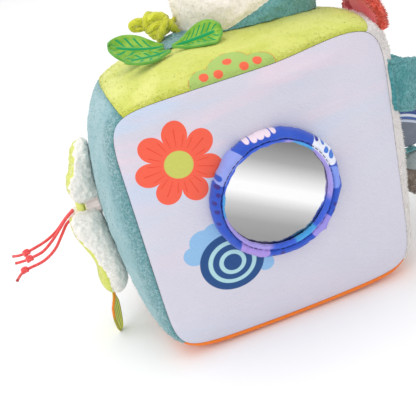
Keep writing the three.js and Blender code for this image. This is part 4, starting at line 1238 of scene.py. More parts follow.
def makeCushion(material, creamPile, tealPile):
    rises = np.sin(np.linspace(0, quarter, 30)[:-1])
    shares = np.concatenate([[0], rises])[:, None]
    angle = fullTurn(72)[None]
    reach = cushionReach(shares)
    x = cushion["x"] + cushion["reachX"] * reach * np.cos(angle)
    y = cushion["y"] + cushion["reachY"] * reach * np.sin(angle)
    z = topCrown + cushion["height"] * shares + 0 * angle
    z[0] = topCrown - cushion["floorDepth"]
    rings = np.stack([x, y, z], -1)
    points, quads = stuffed("cushion", rings, cushion, lambda p: p[:, 2] < topCrown + 2)
    normals = pointNormals(points, quads)
    above = cushionSeam(points)
    lumps = cushion["lumps"] * layeredNoise(points, cushion["cell"], 71, 3) * np.where(above > 0, 1, 0.6)
    points = points + normals * (lumps - cushion["groove"] * np.exp(-(above / 2.2) ** 2))[:, None]
    points = clearOfBlock(points, 0.5)
    normals = pointNormals(points, quads)
    place = np.stack([points[:, 0], points[:, 1], above], -1)
    points = nubs(points, normals, 2.2, 0.45, 74)
    piece = makeMesh("plushCushion", points, [quads], place)
    dress(piece, "cushion", "cream_plush", material, "cushion_top", "cushion_base")
    bare = (points[:, 2] > topHeight(np.clip(points[:, 0], *nearBlock["x"]), points[:, 1]) + 1.5) * 1.0
    for name, weight, nap, slotName, finish in (
            ("cushionFleece", (above > 0.4) * bare, fleece, "cream_plush", creamPile),
            ("cushionNap", (above < -0.4) * bare, velvet, "teal_velour", tealPile)):
        dress(growPile(name, points, quads, normals, place, weight, nap, 72), "cushion", slotName, finish)


def splitPlush(name, low, lowDark, high, highDark, uneven):
    # Two cloths in one piece, either side of the seam at 0 in the third value, its edge uneven
    s = Shader(name)
    _, _, above = s.clothPlace()
    ragged = above + (s.noise(420, 2, 0.6) - 0.5) * 2.0 + (s.noise(170, 2, 0.5) - 0.58) * uneven
    nub = s.noise(900, 3, 0.65, 0.6)
    one = s.mix(s.step(nub, 0.3, 0.65), lowDark, low)
    two = s.mix(s.step(nub, 0.3, 0.65), highDark, high)
    colour = s.mix(s.step(ragged, -0.15, 0.15), one, two)
    return s.principled(colour, 0.9, s.bump(nub, 0.4, 0.0007), Sheen_Weight=0.3, Sheen_Roughness=0.45,
                        Specular_IOR_Level=0.12)


# Pile: spikes per square millimetre, their length and width, and how they lean

velvet = {"perSquare": 0.7, "clump": 3.0, "lean": 0.8, "stray": 0.5, "comb": (0, 0, -0.5),
          "length": 1.0, "width": 0.2}
fleece = {"perSquare": 0.7, "clump": 2.2, "lean": 1.5, "stray": 1.0, "comb": (0, 0, 0),
          "length": 1.3, "width": 0.26}
terry = {"perSquare": 0.8, "clump": 1.5, "lean": 1.5, "stray": 1.0, "comb": (0, 0, 0),
         "length": 0.9, "width": 0.24}
shortNap = {"perSquare": 0.8, "clump": 2.0, "lean": 1.2, "stray": 0.7, "comb": (0, 0, 0),
            "length": 0.7, "width": 0.2}
boucle = {"perSquare": 2.4, "clump": 1.7, "lean": 1.6, "stray": 0.9, "comb": (0, 0, 0),
          "length": 2.1, "width": 0.5}
boucleSmall = {**boucle, "length": 1.5, "width": 0.45}
boucleFringe = {**boucle, "perSquare": 3.4}


tab = {"left": -28, "right": -9, "front": -15.5, "back": 7, "gap": 0.5, "edge": 6, "low": 0.9, "puff": 2.3}


def makeTab(material):
    # The end of the cushion's base, lying on the top panel under the knot, thicker towards its back
    x = np.linspace(tab["left"], tab["right"], 44)[:, None] + np.zeros((1, 60))
    y = np.linspace(tab["front"], tab["back"], 60)[None] + np.zeros((44, 1))
    under = np.stack([x, y, topHeight(x, y) + tab["gap"]], -1)
    toSide = np.minimum(x - tab["left"], tab["right"] - x)
    toEnd = np.minimum(y - tab["front"], tab["back"] - y)
    rim = np.minimum(toSide, toEnd).clip(0, tab["edge"]) / tab["edge"]
    puff = (tab["low"] + tab["puff"] * np.clip((y + 13) / 9, 0, 1)) * np.sqrt(rim * (2 - rim))
    wave = 0.3 * layeredNoise(under, 5, 75, 2) * puff
    over = under + np.stack([0 * x, 0 * x, 0.25 + puff + wave], -1)
    place = np.stack([x, y, 5 + 0 * x], -1)
    piece = slabMesh("tabCloth", over, under, place)
    dress(piece, "block", "teal_velour", material, "cushion_tab")
    declareSheet(piece, over)


# The knotted jersey cord

jersey = {
    "centre": (-26.0, 1.4, 163.6), "core": (4.4, 4.4, 5.4),
    "strands": {
        "loop": ((-29.1, 1.4, 164.6, 2.00), (-31.5, 0.4, 167.5, 2.10), (-34.9, 0.2, 168.9, 2.20),
            (-38.2, 0.4, 168.8, 2.00), (-39.3, 0.4, 167.5, 1.70), (-38.2, 0.4, 165.9, 1.55),
            (-35.5, 0.2, 165.2, 1.50), (-32.5, 0.4, 165.0, 1.60), (-29.2, 1.4, 164.3, 1.60)),
        "wrapA": ((-26.4, 5.3, 169.2, 1.70), (-29.1, 0.9, 170.8, 1.80), (-31.2, -1.7, 169.7, 1.80),
            (-32.0, -1.9, 167.4, 1.80), (-31.5, -0.0, 164.6, 1.70), (-28.6, 4.3, 162.0, 1.60)),
        "wrapB": ((-30.8, 0.4, 166.1, 2.00), (-29.2, -2.3, 168.9, 2.20), (-26.7, -3.2, 169.9, 2.30),
            (-23.9, -3.0, 169.2, 2.30), (-21.4, -1.1, 167.4, 2.00), (-20.3, 2.8, 164.9, 1.80)),
        "wrapC": ((-31.5, 0.9, 163.0, 1.80), (-30.1, -2.8, 164.5, 2.00), (-27.3, -4.0, 165.7, 2.10),
            (-24.3, -3.6, 166.2, 2.10), (-21.5, -1.0, 165.6, 1.80), (-20.2, 2.8, 163.5, 1.60)),
        "wrapD": ((-30.5, 0.9, 160.7, 1.50), (-29.1, -2.6, 161.9, 1.70), (-26.4, -3.8, 162.7, 1.80),
            (-23.3, -2.6, 163.1, 1.70), (-20.8, 0.4, 162.5, 1.60)),
        "wrapE": ((-29.5, 0.9, 159.3, 1.50), (-28.2, -1.7, 159.4, 1.70), (-26.2, -3.0, 160.2, 1.80),
            (-23.1, -1.5, 160.6, 1.70), (-20.8, 1.4, 160.4, 1.60)),
        "front": ((-21.9, 0.4, 167.4, 1.60), (-21.6, -3.0, 167.0, 1.80), (-22.8, -5.3, 165.9, 1.95),
            (-24.4, -6.2, 164.1, 2.00), (-25.8, -5.9, 162.1, 2.10), (-26.7, -4.5, 159.9, 2.05),
            (-27.1, -1.9, 157.7, 1.70), (-26.6, 1.4, 155.7, 1.40)),
        "right": ((-22.9, -0.0, 164.3, 2.60), (-20.3, -1.1, 163.5, 2.90), (-18.6, -1.3, 161.6, 2.30),
            (-17.1, -0.9, 159.1, 1.75), (-15.0, 0.3, 156.1, 1.50), (-12.8, 2.5, 153.5, 1.40)),
        "stub": ((-19.8, 0.9, 162.6, 1.80), (-17.3, 2.0, 163.6, 1.60), (-15.0, 3.7, 164.4, 1.40)),
    },
}


def makeJersey(material):
    # A small core, and on it the strands: each a route of places and radii
    centre = np.array(jersey["centre"])
    polar = np.linspace(0.12, np.pi - 0.12, 40)[:, None]
    angle = fullTurn(48)[None]
    ball = np.stack(np.broadcast_arrays(np.sin(polar) * np.cos(angle), np.sin(polar) * np.sin(angle),
                                        -np.cos(polar)), -1)
    middle = centre + ball * np.array(jersey["core"])
    parts = [(middle, np.stack(np.broadcast_arrays(polar * 8, angle * 5, angle), -1))]
    for index, stations in enumerate(jersey["strands"].values()):
        count = 14 * len(stations)
        route = smoothRoute([station[:3] for station in stations], count)
        widths = smoothRoute([(station[3], 0, at) for at, station in enumerate(stations)], count)[:, 0]
        at = np.linspace(0, 1, count)
        widths = widths * (1 + 0.05 * np.sin(len(stations) * 5 * at + index))
        parts.append(tubeRings(route, widths, 24, hint=(0, 1, 0.2)))
    piece = joinedMesh("jerseyKnot", parts)
    dress(piece, "knot", "jersey_lime", material, "jersey_knot")


def jerseyFinish():
    # Fine knit: rows of small slanted stitches along the cord, with painted shade in its long creases
    s = Shader("jerseyLime")
    distance, around, _ = s.clothPlace()
    wale = s.apply("PINGPONG", around, 0.55) / 0.55
    stitch = s.apply("SINE", distance * 6.5 + wale * 3.0)
    lengthwise = s.add("CombineXYZ", {}, {"X": distance * 0.12, "Y": around * 0.9, "Z": 0.0}, "Vector")
    crease = s.noise(1.4, 3, 0.6, 0.8, lengthwise)
    # Painted shade: darker where the creases of the bump sink, lighter on their ridges
    colour = s.mix(s.step(crease, 0.34, 0.6), "c6c924", "ecec44")
    colour = s.mix(s.step(stitch, 0.1, 0.9) * 0.2, colour, "f0f05c")
    height = stitch * 0.25 + wale * 0.2 + crease * 2.4
    return s.principled(colour, 0.8, s.bump(height, 0.6, 0.0008), Sheen_Weight=0.35, Specular_IOR_Level=0.2)


# The flower

flower = {"x": -85.5, "z": 82, "gathers": 15}
petals = {
    # Each station: how far along, how far out its seam stands, its depth behind and before, its half width
    "petal_upper": {"clock": -12, "seed": 91, "stations": [
        (2.9, 10.0, 12, 0.4, 8), (4.4, 11.4, 16, 0.5, 11), (9, 12.6, 16.6, 0.7, 13.2),
        (15, 11.4, 15.4, 0.9, 14.4), (20, 7.7, 12.2, 0.5, 15), (25, 5.4, 11, 0.6, 15.5),
        (29.5, 3.8, 9.6, 1.2, 14), (33, 1.8, 7.4, 1.2, 10.5), (35.6, -0.8, 3.6, 0.8, 5)]},
    "petal_lower": {"clock": 172, "seed": 92, "stations": [
        (2.0, 15.6, 13.5, 0.8, 8.6), (3.8, 16.8, 17, 0.8, 11), (7.5, 17.4, 18.4, 0.8, 13.8),
        (11, 16.8, 17.5, 1.0, 15.4), (17, 14.6, 16.5, 1.0, 16.8), (24, 11.8, 15, 1.1, 17.5),
        (31, 9.6, 13.5, 1.5, 18), (38, 8.2, 12, 2.8, 17.5), (45, 7.8, 10.6, 5.0, 14.5),
        (51, 7.4, 8.4, 4.0, 10.5), (55.4, 6.8, 3.6, 1.2, 4)]},
    "petal_back": {"clock": -84, "seed": 93, "stations": [
        (8.6, 9.4, 3, 0.6, 3.5), (11, 8, 6.5, 1.2, 5.5), (16, 5.2, 8, 1.8, 8.5), (23, 2, 8, 1.6, 12),
        (30, -1.6, 7.2, 1.4, 14), (37, -5.6, 6.2, 1.6, 14), (43, -9.6, 5, 1.6, 11), (48, -13, 1.6, 0.7, 4)]},
}
petalStuffing = {"voxel": 1.9, "pressure": 3.0, "steps": 20, "cap": 0.8, "levels": 2, "sewnWithin": 12}


def petalAxes(kind):
    # Along the petal, across it and out from the block
    clock = math.radians(kind["clock"])
    c, s = math.cos(clock), math.sin(clock)
    return np.array([[0, -s, c], [0, c, s], [-1, 0, 0]])


def makePetal(name, material, creamPile, limePile):
    # Sections round a flat seam: a deep boxy swelling towards the block and a shallow one away from it
    kind = petals[name]
    axes = petalAxes(kind)
    centre = np.array([flower["x"], 0, flower["z"]])
    stations = np.array(kind["stations"], float)
    rows = 56
    at = np.linspace(0, 1, rows)
    knots = np.linspace(0, 1, len(stations))
    smooth = smoothRoute(stations[:, :3], rows), smoothRoute(stations[:, [0, 3, 4]], rows)
    along = np.interp(at, knots, stations[:, 0])[:, None]
    stand, back = (np.interp(along[:, 0], smooth[0][:, 0], smooth[0][:, k])[:, None] for k in (1, 2))
    face, half = (np.interp(along[:, 0], smooth[1][:, 0], smooth[1][:, k])[:, None] for k in (1, 2))
    turn = fullTurn(72)[None]
    swell = np.sin(turn)
    swell = np.where(swell > 0, face * swell, back * signedPower(swell, 0.55))
    wide = half * signedPower(np.cos(turn), 0.75)
    local = np.stack(np.broadcast_arrays(along, wide, stand + swell), -1)
    rings = centre + local @ axes

    def fromHeart(p):
        return np.linalg.norm(p[:, 1:] - centre[1:], axis=1)

    points, quads = stuffed(name, rings, petalStuffing, lambda p: fromHeart(p) < petalStuffing["sewnWithin"])
    place = (points - centre) @ axes.T
    seam = np.interp(place[:, 0], smooth[0][:, 0], smooth[0][:, 1])
    past = place[:, 2] - seam
    normals = pointNormals(points, quads)
    isFace = past > 0
    lumps = layeredNoise(points, 2.6, kind["seed"], 2) * np.where(isFace, 0.12, 0.38)
    pucker = 0.25 * np.sin(2 * np.pi * place[:, 0] / 4.2) * np.exp(-np.abs(past) / 2)
    points = points + normals * (lumps + pucker - 0.7 * np.exp(-(past / 0.9) ** 2))[:, None]
    away = fromHeart(points)
    points = nubs(points, normals, 1.8, np.where(isFace, 0.1, 0.38), kind["seed"] + 3)
    points = clearOfBlock(points, 0.6)
    normals = pointNormals(points, quads)
    place[:, 2] = past
    short = "petal" + name.replace("petal_", "").title()
    piece = makeMesh(short, points, [quads], place)
    dress(piece, name, "cream_plush", material, name + "_padding", name + "_face")
    bare = (away > 6) * 1.0
    for label, weight, nap, slotName, finish in (
            ("Terry", (past < -0.2) * bare, terry, "cream_plush", creamPile),
            ("Nap", (past > 0.3) * bare, shortNap, "lime_velour", limePile)):
        dress(growPile(short + label, points, quads, normals, place, weight, nap, kind["seed"]), name,
              slotName, finish)


def turnedPiece(name, centre, profile, sides, axis, ripple=None):
    # A profile of (radius, distance along the axis), turned round the axis; ripple(angle, share) widens it
    p = smoothRoute([(r, d, 0) for r, d in profile], 60)
    angle = fullTurn(sides)[None]
    r, d = np.maximum(p[:, :1], 0.02), p[:, 1:2]
    if ripple:
        r = r * (1 + ripple(angle, np.linspace(0, 1, 60)[:, None]))
    ahead = np.asarray(axis, float)
    side = unit(np.cross([0, 1, 0.01], ahead))
    up = np.cross(ahead, side)
    r, d, angle = np.broadcast_arrays(r, d, angle)
    grid = np.asarray(centre, float) + (r * np.cos(angle))[..., None] * side + (
        r * np.sin(angle))[..., None] * up + d[..., None] * ahead
    return loftMesh(name, grid, np.stack([r, angle * 10, d], -1))


def makeFlowerHeart(satinMaterial, limeMaterial):
    # The gathered neck behind the petals, and the button that holds them
    centre = (flower["x"], 0, flower["z"])

    def gathers(angle, share):
        return 0.04 * np.sin(flower["gathers"] * angle + 3 * share) * np.sin(np.pi * share)

    neck = [(0.1, -2.2), (5.5, -2.2), (6.9, -1.2), (6.2, 1.5), (5.6, 4), (5.6, 6.4), (4.2, 7.1), (0.1, 7.2)]
    piece = turnedPiece("flowerNeck", centre, neck, 120, (-1, 0, 0), gathers)
    dress(piece, "block", "pink_satin", satinMaterial, "flower_neck")
    top = [(0.1, 7.45), (4.4, 7.5), (5.2, 8.2), (5.0, 9.6), (4.2, 10.8), (2.2, 11.5), (0.1, 11.7)]
    piece = turnedPiece("flowerButton", centre, top, 96, (-1, 0, 0))
    dress(piece, "block", "lime_velour", limeMaterial, "flower_button")


leafTag = {"length": 27, "half": 5, "thickness": 1.6, "ahead": 55.4, "out": 8.4, "sag": 3, "turnDeg": 32}


def makeLeafTag(material):
    axes = petalAxes(petals["petal_lower"])
    top = np.array([flower["x"], 0, flower["z"]]) + axes[0] * leafTag["ahead"] + axes[2] * leafTag["out"]

    def pointAt(u, v):
        half = leafHalf(leafTag["half"], u, leafCloth["endShare"]) * v
        turn = math.radians(leafTag["turnDeg"]) * np.minimum(1, 3 * u)
        x = top[0] - leafTag["sag"] * np.sin(quarter * u) + 0.5 * v * v + half * np.sin(turn)
        y = top[1] + half * np.cos(turn)
        return np.stack([x, y, top[2] - leafTag["length"] * u], -1)

    over, under, place, grid = clothSlab(pointAt, 90, 40, leafTag["thickness"], ripple=0.2, seed=64)
    piece = slabMesh("leafTag", over, under, place)
    dress(piece, "leaf_tag", "leaf_cloth", material, "flower_leaf_tag")
    declareSheet(piece, grid)


def leafTagFinish():
    s = Shader("leafTagCloth")
    u, v, _ = s.clothPlace()
    colour = s.mix(s.noise(200, 3, 0.6), "eaec4c", "f6f67c")
    rib = anyOf([s.below(abs(v), 0.08, 0.04), s.below(abs(abs(v) - 0.42), 0.07, 0.03) * s.below(u, 0.8)])
    colour = s.mix(rib, colour, "6f9a34")
    edge = s.step(abs(v), 0.84, 0.9)
    colour = s.mix(edge, colour, s.mix(s.below(u, 0.55, 0.1), "a9a23a", "ee8a2c"))
    colour = s.mix(s.below(abs(abs(v) - 0.8), 0.05, 0.03), colour, "7d6f2a")
    weave = s.noise(1700, 2, 0.6)
    return s.principled(colour, 0.8, s.bump(weave + rib, 0.4, 0.0004), Sheen_Weight=0.25,
                        Specular_IOR_Level=0.2)


# The grab loop

strap = {
    "width": 28, "thickness": 5, "reachX": 50, "reachY": 57.2, "sewnPastDeg": 8.6, "droopDeg": 11,
    "root": (66, 0, 113.5), "swell": 0.8, "bendFrom": (0.074, 0, 0.112), "bendTo": (0.095, 0, 0.109),
    "folds": 0.6, "sag": 16, "leanDeg": 60, "sagDeg": (-90, -20, 60, 95), "turnDeg": (-66, -20, 60, 95),
    # By its ends: the lengths that tuck into the seam, spread along it and lie on the side panel
    "tuckLength": 5, "tuckIn": 2.4, "tuckDown": 3.6, "spreadLength": 18, "spreadOut": 2.9,
    "skinLength": 26, "skinGap": 0.5, "skinHalf": 0.7, "skinReach": 56.8, "endReach": 57.8, "bareLength": 6,
}


def makeStrap(material, pileMaterial):
    # A padded band on an ellipse: its section is a flat oval, with small folds where it is sewn down.
    # The outer bend is limp: it sinks, and its upper edge falls outwards
    rows, columns = 260, 72
    span = quarter + math.radians(strap["sewnPastDeg"])
    theta = np.linspace(-span, span, rows)
    inset = strap["thickness"] / 2
    middle = np.stack([(strap["reachX"] - inset) * np.cos(theta), (strap["reachY"] - inset) * np.sin(theta),
                       0 * theta], -1)
    ahead = unit(np.gradient(middle, axis=0))
    out = np.stack([ahead[:, 1], -ahead[:, 0], 0 * theta], -1)
    turn = fullTurn(columns)
    flat = signedPower(np.cos(turn), 0.75) * (strap["width"] / 2)
    facing = signedPower(np.sin(turn), 0.6)
    thick = facing * (strap["thickness"] / 2)

    def window(limits):
        # Rises from 0 to 1 between the first two angles, and falls back between the last two
        low, lowEnd, highStart, high = (math.radians(v) for v in limits)
        rise = np.clip((theta - low) / (lowEnd - low), 0, 1)
        fall = np.clip((high - theta) / (high - highStart), 0, 1)
        return rise * rise * (3 - 2 * rise) * fall * fall * (3 - 2 * fall)

    distance = lengths(middle[:, None], 0)
    toEnd = np.minimum(distance, distance[-1] - distance)
    thin = 0.35 + 0.65 * np.clip((toEnd - 11) / 12, 0, 1)
    far = window(strap["sagDeg"]) * np.maximum(middle[:, 0] / (strap["reachX"] - inset), 0) ** 1.2
    lean = math.radians(strap["leanDeg"]) * window(strap["turnDeg"])[:, None]
    above = np.array([0, 0, 1.0])
    wide = above * np.cos(lean) + out * np.sin(lean)
    deep = out * np.cos(lean) - above * np.sin(lean)
    local = middle[:, None] + deep[:, None] * (thin * thick)[..., None] + wide[:, None] * flat[None, :, None]
    local = local - above * (strap["sag"] * far)[:, None, None]
    droop = math.radians(strap["droopDeg"])
    x = local[..., 0] * math.cos(droop) + local[..., 2] * math.sin(droop) + strap["root"][0]
    z = -local[..., 0] * math.sin(droop) + local[..., 2] * math.cos(droop) + strap["root"][2]
    grid = np.stack([x, local[..., 1], z], -1)
    # By the seam the band lies flat on the side panel, and its end dives into the seam
    tuck = np.clip(1 - toEnd / strap["tuckLength"], 0, 1)
    spread = np.clip(1 - toEnd / strap["spreadLength"], 0, 1)
    grid[..., 1] += np.sign(grid[..., 1]) * (strap["spreadOut"] * spread - strap["tuckIn"] * tuck)
    clipped = np.clip(grid[..., 1], -strap["skinReach"], strap["skinReach"])
    skin = sideReach(clipped, grid[..., 2]) + strap["skinGap"]
    skin = skin + strap["skinHalf"] * (facing + 1)[None] - strap["tuckDown"] * tuck
    near = (toEnd < strap["skinLength"]) & (np.abs(grid[..., 1]) < strap["endReach"])
    grid[..., 0] = np.where(near, np.maximum(grid[..., 0], skin), grid[..., 0])
    normal = gridNormals(grid, wrapColumns=True, awayFrom=grid.mean(1, keepdims=True))
    sewn = np.exp(-np.abs(toEnd - 24) / 7) * (toEnd > 15)
    fold = np.sin(grid[..., 2] * 0.9 + 2.2 * latticeNoise(grid, 12, 96)) * sewn * strap["folds"]
    soft = 0.5 * layeredNoise(grid, 8, 95, 3)
    edge = -0.7 * np.exp(-((np.abs(flat) - strap["width"] / 2 + 2.2) / 0.7) ** 2)[None]
    grid = grid + normal * (strap["swell"] * 0.4 + fold * 0.5 + soft + edge)[..., None]
    place = np.stack(np.broadcast_arrays(distance, flat[None], 6 + 0 * flat[None]), -1)
    piece = loftMesh("grabLoop", grid, place)
    piece.data.materials.append(material)
    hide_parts("handle_loop", "handle_end_front", "handle_end_back")
    normal = gridNormals(grid, wrapColumns=True, awayFrom=grid.mean(1, keepdims=True))
    weight = (toEnd > strap["bareLength"]) * 1.0
    pile = pileMesh("grabLoopPile", grid, normal, weight, velvet, 97, place, wrapColumns=True)
    pile.data.materials.append(pileMaterial)
    for made in (piece, pile):
        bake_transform(made)


# The lined flap, the ribbon and the pod on the right side

flap = {
    "y": -29, "half": 23.4, "tipShare": 0.985, "lean": 86, "curl": 54, "reach": 14.5, "rootDepth": 3,
    "standOut": 2.5, "dark": "ff5f68", "light": "ff9398", "star": (-14.6, 148.2), "starTone": "c8102a",
    "starReach": 4.6, "starNotch": 2.6,
}


def flapSurface(u, v):
    half = flap["half"] * np.maximum(0, 1 - (flap["tipShare"] * u) ** 2) ** 0.7
    y = flap["y"] + half * v
    seam = settle(bandPoint(eighth, turnAt(y)))
    lean = np.radians(flap["lean"] + flap["curl"] * u / 2)
    rise = flap["reach"] * u - flap["rootDepth"] * (1 - u)
    return np.stack([seam[..., 0] + flap["standOut"] + rise * np.cos(lean), y,
                     seam[..., 2] + rise * np.sin(lean)], -1)


def makeFlap(liningMaterial, shellMaterial, pileMaterial):
    rows, columns = 90, 90
    u = np.linspace(0, 1, rows)[:, None] + np.zeros((1, columns))
    v = np.linspace(-1, 1, columns)[None] + np.zeros((rows, 1))
    grid = flapSurface(u, v)
    normal = gridNormals(grid)
    normal = normal * -np.sign(normal[..., :1])
    rim = np.minimum((1 - u) * rows / 14, (1 - np.abs(v)) * columns / 14).clip(0, 1)
    place = np.stack([u, v, grid[..., 1]], -1)
    wave = 0.3 * layeredNoise(grid, 9, 98, 2)[..., None] * normal
    inset = grid + wave + normal * (0.2 + 0.9 * rim ** 0.5)[..., None]
    lining = slabMesh("flapLining", inset, grid + wave + normal * 0.1, place)
    dress(lining, "flap", "pink_satin", liningMaterial, "flap_lining")
    declareSheet(lining, grid[:-4])
    fill = 0.9 + 3.4 * rim ** 0.5
    lumps = 0.45 * layeredNoise(grid, 3.2, 99, 2)
    back = grid + wave - normal * (fill + lumps)[..., None]
    shell = slabMesh("flapShell", grid + wave - normal * 0.1, back, place)
    dress(shell, "flap", "coral_boucle", shellMaterial, "flap_shell")
    curl = pileMesh("flapCurls", back, -normal, 1.0, boucle, 100, place)
    dress(curl, "flap", "coral_boucle", pileMaterial)
    # The curls stand out past the edge of the lining as well
    edge = np.concatenate([grid[:, 0], grid[-1], grid[::-1, -1]])
    middle = grid[rows // 3, columns // 2]
    across = np.linspace(-1, 0.6, 9)
    band = edge[:, None] + (across * 1.6)[None, :, None] * normal[rows // 2, columns // 2]
    outward = unit(edge - middle)[:, None] + 0 * band
    fringe = pileMesh("flapFringe", band, outward, 1.0, boucleFringe, 101, np.zeros_like(band))
    dress(fringe, "flap", "coral_boucle", pileMaterial)


ribbon = {
    "y": -18, "z": 74, "length": 31, "half": 12.5, "endShare": 0.04, "thickness": 1.6, "droopDeg": 16,
    "bow": 1, "dark": "626a78", "light": "7a8290",
    # The place from the upper edge, the half width and the tone of each stripe
    "stripes": ((1.4, 1.3, "23428f"), (3.6, 0.8, "dfe4f0"), (5.2, 0.7, "3d5fa8"), (7.0, 0.7, "c9d2e4")),
}


def makeRibbon(material):
    root = float(sideReach(ribbon["y"], ribbon["z"]))
    droop = math.radians(ribbon["droopDeg"])

    def pointAt(u, v):
        half = leafHalf(ribbon["half"], u, ribbon["endShare"]) * v
        out = ribbon["length"] * u - block["fabric"]
        x = root + out * math.cos(droop) + half * math.sin(droop)
        y = ribbon["y"] - ribbon["bow"] * np.sin(np.pi * u) + 0 * v
        return np.stack([x, y, ribbon["z"] - out * math.sin(droop) + half * math.cos(droop)], -1)

    over, under, place, grid = clothSlab(pointAt, 90, 60, ribbon["thickness"], ripple=0.25, seed=65)
    piece = slabMesh("ribbonTag", over, under, place)
    dress(piece, "ribbon", "grey_satin", material, "ribbon_tag")
    declareSheet(piece, grid)


def ribbonFinish():
    # Grey satin with dark blue and white stripes along its upper edge and fine ribs
    s = Shader("ribbonSatin")
    u, v, _ = s.clothPlace()
    along, across = u * ribbon["length"], v * ribbon["half"]
    edge = ribbon["half"] - across - along * 0.12
    colour = s.mix(s.noise(200, 2, 0.6), ribbon["dark"], ribbon["light"])
    for place, half, tone in ribbon["stripes"]:
        colour = s.mix(s.below(abs(edge - place), half, 0.15), colour, tone)
    rib = s.apply("SINE", along * 9.0)
    return s.principled(colour, 0.4, s.bump(rib, 0.3, 0.0002), Sheen_Weight=0.2, Specular_IOR_Level=0.4)


pod = {
    "y": -20, "tabZ": 56.5, "x": 100.15, "centreZ": 40.4, "radius": 10.5, "halfHeight": 14.5, "split": 5.22,
    "tabEnd": 100.0, "tabHalf": 2.6, "tabHeight": 56.0, "tabThick": 0.8, "tabRoot": 2,
}


def makePod(capMaterial, capPile, bodyMaterial, bodyPile):
    # An upright egg shape in two pieces, cut square a little above its middle
    centre = np.array([pod["x"], pod["y"], pod["centreZ"]])
    top, foot = (pod["split"] + 0.3) / pod["halfHeight"], pod["split"] / pod["halfHeight"]
    for name, low, high, slotName, finish, pileMaterial, nap in (
            ("podBody", -1, foot, "taupe_boucle", bodyMaterial, bodyPile, boucleSmall),
            ("podCap", top, 1, "teal_velour", capMaterial, capPile, shortNap)):
        polar = np.linspace(math.acos(min(1, -low)), math.acos(max(-1, -high)), 60)[:, None]
        angle = fullTurn(96)[None]
        reach = pod["radius"] * np.maximum(np.sin(polar), 0.02)
        local = np.stack(np.broadcast_arrays(reach * np.cos(angle), reach * np.sin(angle),
                                             -pod["halfHeight"] * np.cos(polar)), -1)
        grid = centre + local
        normal = unit(local / np.array([1, 1, 2.0]))
        toSplit = np.abs(local[..., 2] - pod["split"])
        relief = 0.35 * layeredNoise(grid, 3.5, 102, 2) - 0.9 * np.exp(-(toSplit / 1.1) ** 2)
        grid = grid + normal * relief[..., None]
        place = np.stack(np.broadcast_arrays(angle * 10, local[..., 2], toSplit + 2), -1)
        piece = loftMesh(name, grid, place)
        dress(piece, "pod", slotName, finish, "pod_cap" if name == "podCap" else "pod_body")
        pile = pileMesh(name + "Pile", grid, normal, 1.0, nap, 103, place, wrapColumns=True)
        dress(pile, "pod", slotName, pileMaterial)


def makePodTab(material):
    # A folded ribbon loop from the side panel to the top of the pod
    root = float(sideReach(pod["y"], pod["tabZ"]))
    x = np.linspace(root - pod["tabRoot"], pod["tabEnd"], 60)[:, None]
    turn = fullTurn(40)[None]
    y = pod["y"] + pod["tabHalf"] * signedPower(np.cos(turn), 0.5)
    z = pod["tabHeight"] + pod["tabThick"] * signedPower(np.sin(turn), 0.6)
    grid = np.stack(np.broadcast_arrays(x, y, z + 0.15 * np.sin(x * 1.3)), -1)
    place = np.stack(np.broadcast_arrays(x, turn * 2, 3 + 0 * turn + 0 * x), -1)
    piece = loftMesh("podTab", grid, place)
    dress(piece, "block", "teal_velour", material, "pod_tab")


def liningFinish():
    # Pink satin with one darker coral star and a fine twill
    s = Shader("liningSatin")
    _, y, z = s.objectPlace()
    twill = s.apply("SINE", (y + z) * 8.0)
    patch = s.noise(60, 2, 0.5, 0.8)
    colour = s.mix(patch, flap["dark"], flap["light"])
    angle = s.apply("ARCTAN2", z - flap["star"][1], y - flap["star"][0]) + 0.2
    point = s.apply("PINGPONG", angle, math.pi / 5) / (math.pi / 5)
    away = distanceFrom(y, z, flap["star"])
    star = s.below(away - (flap["starReach"] - point * flap["starNotch"]), 0.0)
    colour = s.mix(star, colour, flap["starTone"])
    return s.principled(colour, 0.4, s.bump(twill, 0.3, 0.0002), Sheen_Weight=0.1, Specular_IOR_Level=0.25)


def neckFinish():
    s = Shader("neckSatin")
    _, around, out = s.clothPlace()
    fold = s.apply("SINE", around * 1.7)
    colour = s.mix(s.step(out, 6.3, 6.6), "f6e6e1", "dfe27e")
    # Painted shade: faint darker stripes along the gathers
    colour = s.mix(s.step(fold, 0.2, 1.0) * 0.1, colour, "d9c2b8")
    return s.principled(colour, 0.5, s.bump(s.noise(1200, 2), 0.4, 0.0003), Sheen_Weight=0.35,
                        Specular_IOR_Level=0.3)


def plainPlush(name, light, dark):
    # Nubby plush: fine loops over slow changes of tone
    s = Shader(name)
    nub = s.noise(900, 3, 0.65, 0.6)
    patch = s.noise(110, 3, 0.6)
    colour = s.mix(s.step(nub * 0.6 + patch * 0.4, 0.3, 0.55), dark, light)
    return s.principled(colour, 0.9, s.bump(nub, 0.6, 0.0007), Sheen_Weight=0.5, Sheen_Roughness=0.45,
                        Specular_IOR_Level=0.12)


# The studio: a wide pale floor, a white sky and three large soft lamps

studio = {
    "floor": "ffffff", "floorDark": "fafafa", "floorReach": 4000, "floorHeight": -0.15,
    "sky": 0.88, "aim": (0, 0, 0.09),
    "lamps": (
        {"name": "keyLamp", "place": (-0.95, -0.7, 1.05), "size": 0.9, "watts": 3.2},
        {"name": "fillLamp", "place": (0.95, -0.75, 0.6), "size": 1.0, "watts": 0.3},
        {"name": "topLamp", "place": (-0.25, 0.3, 1.4), "size": 1.2, "watts": 6.0},
    ),
}


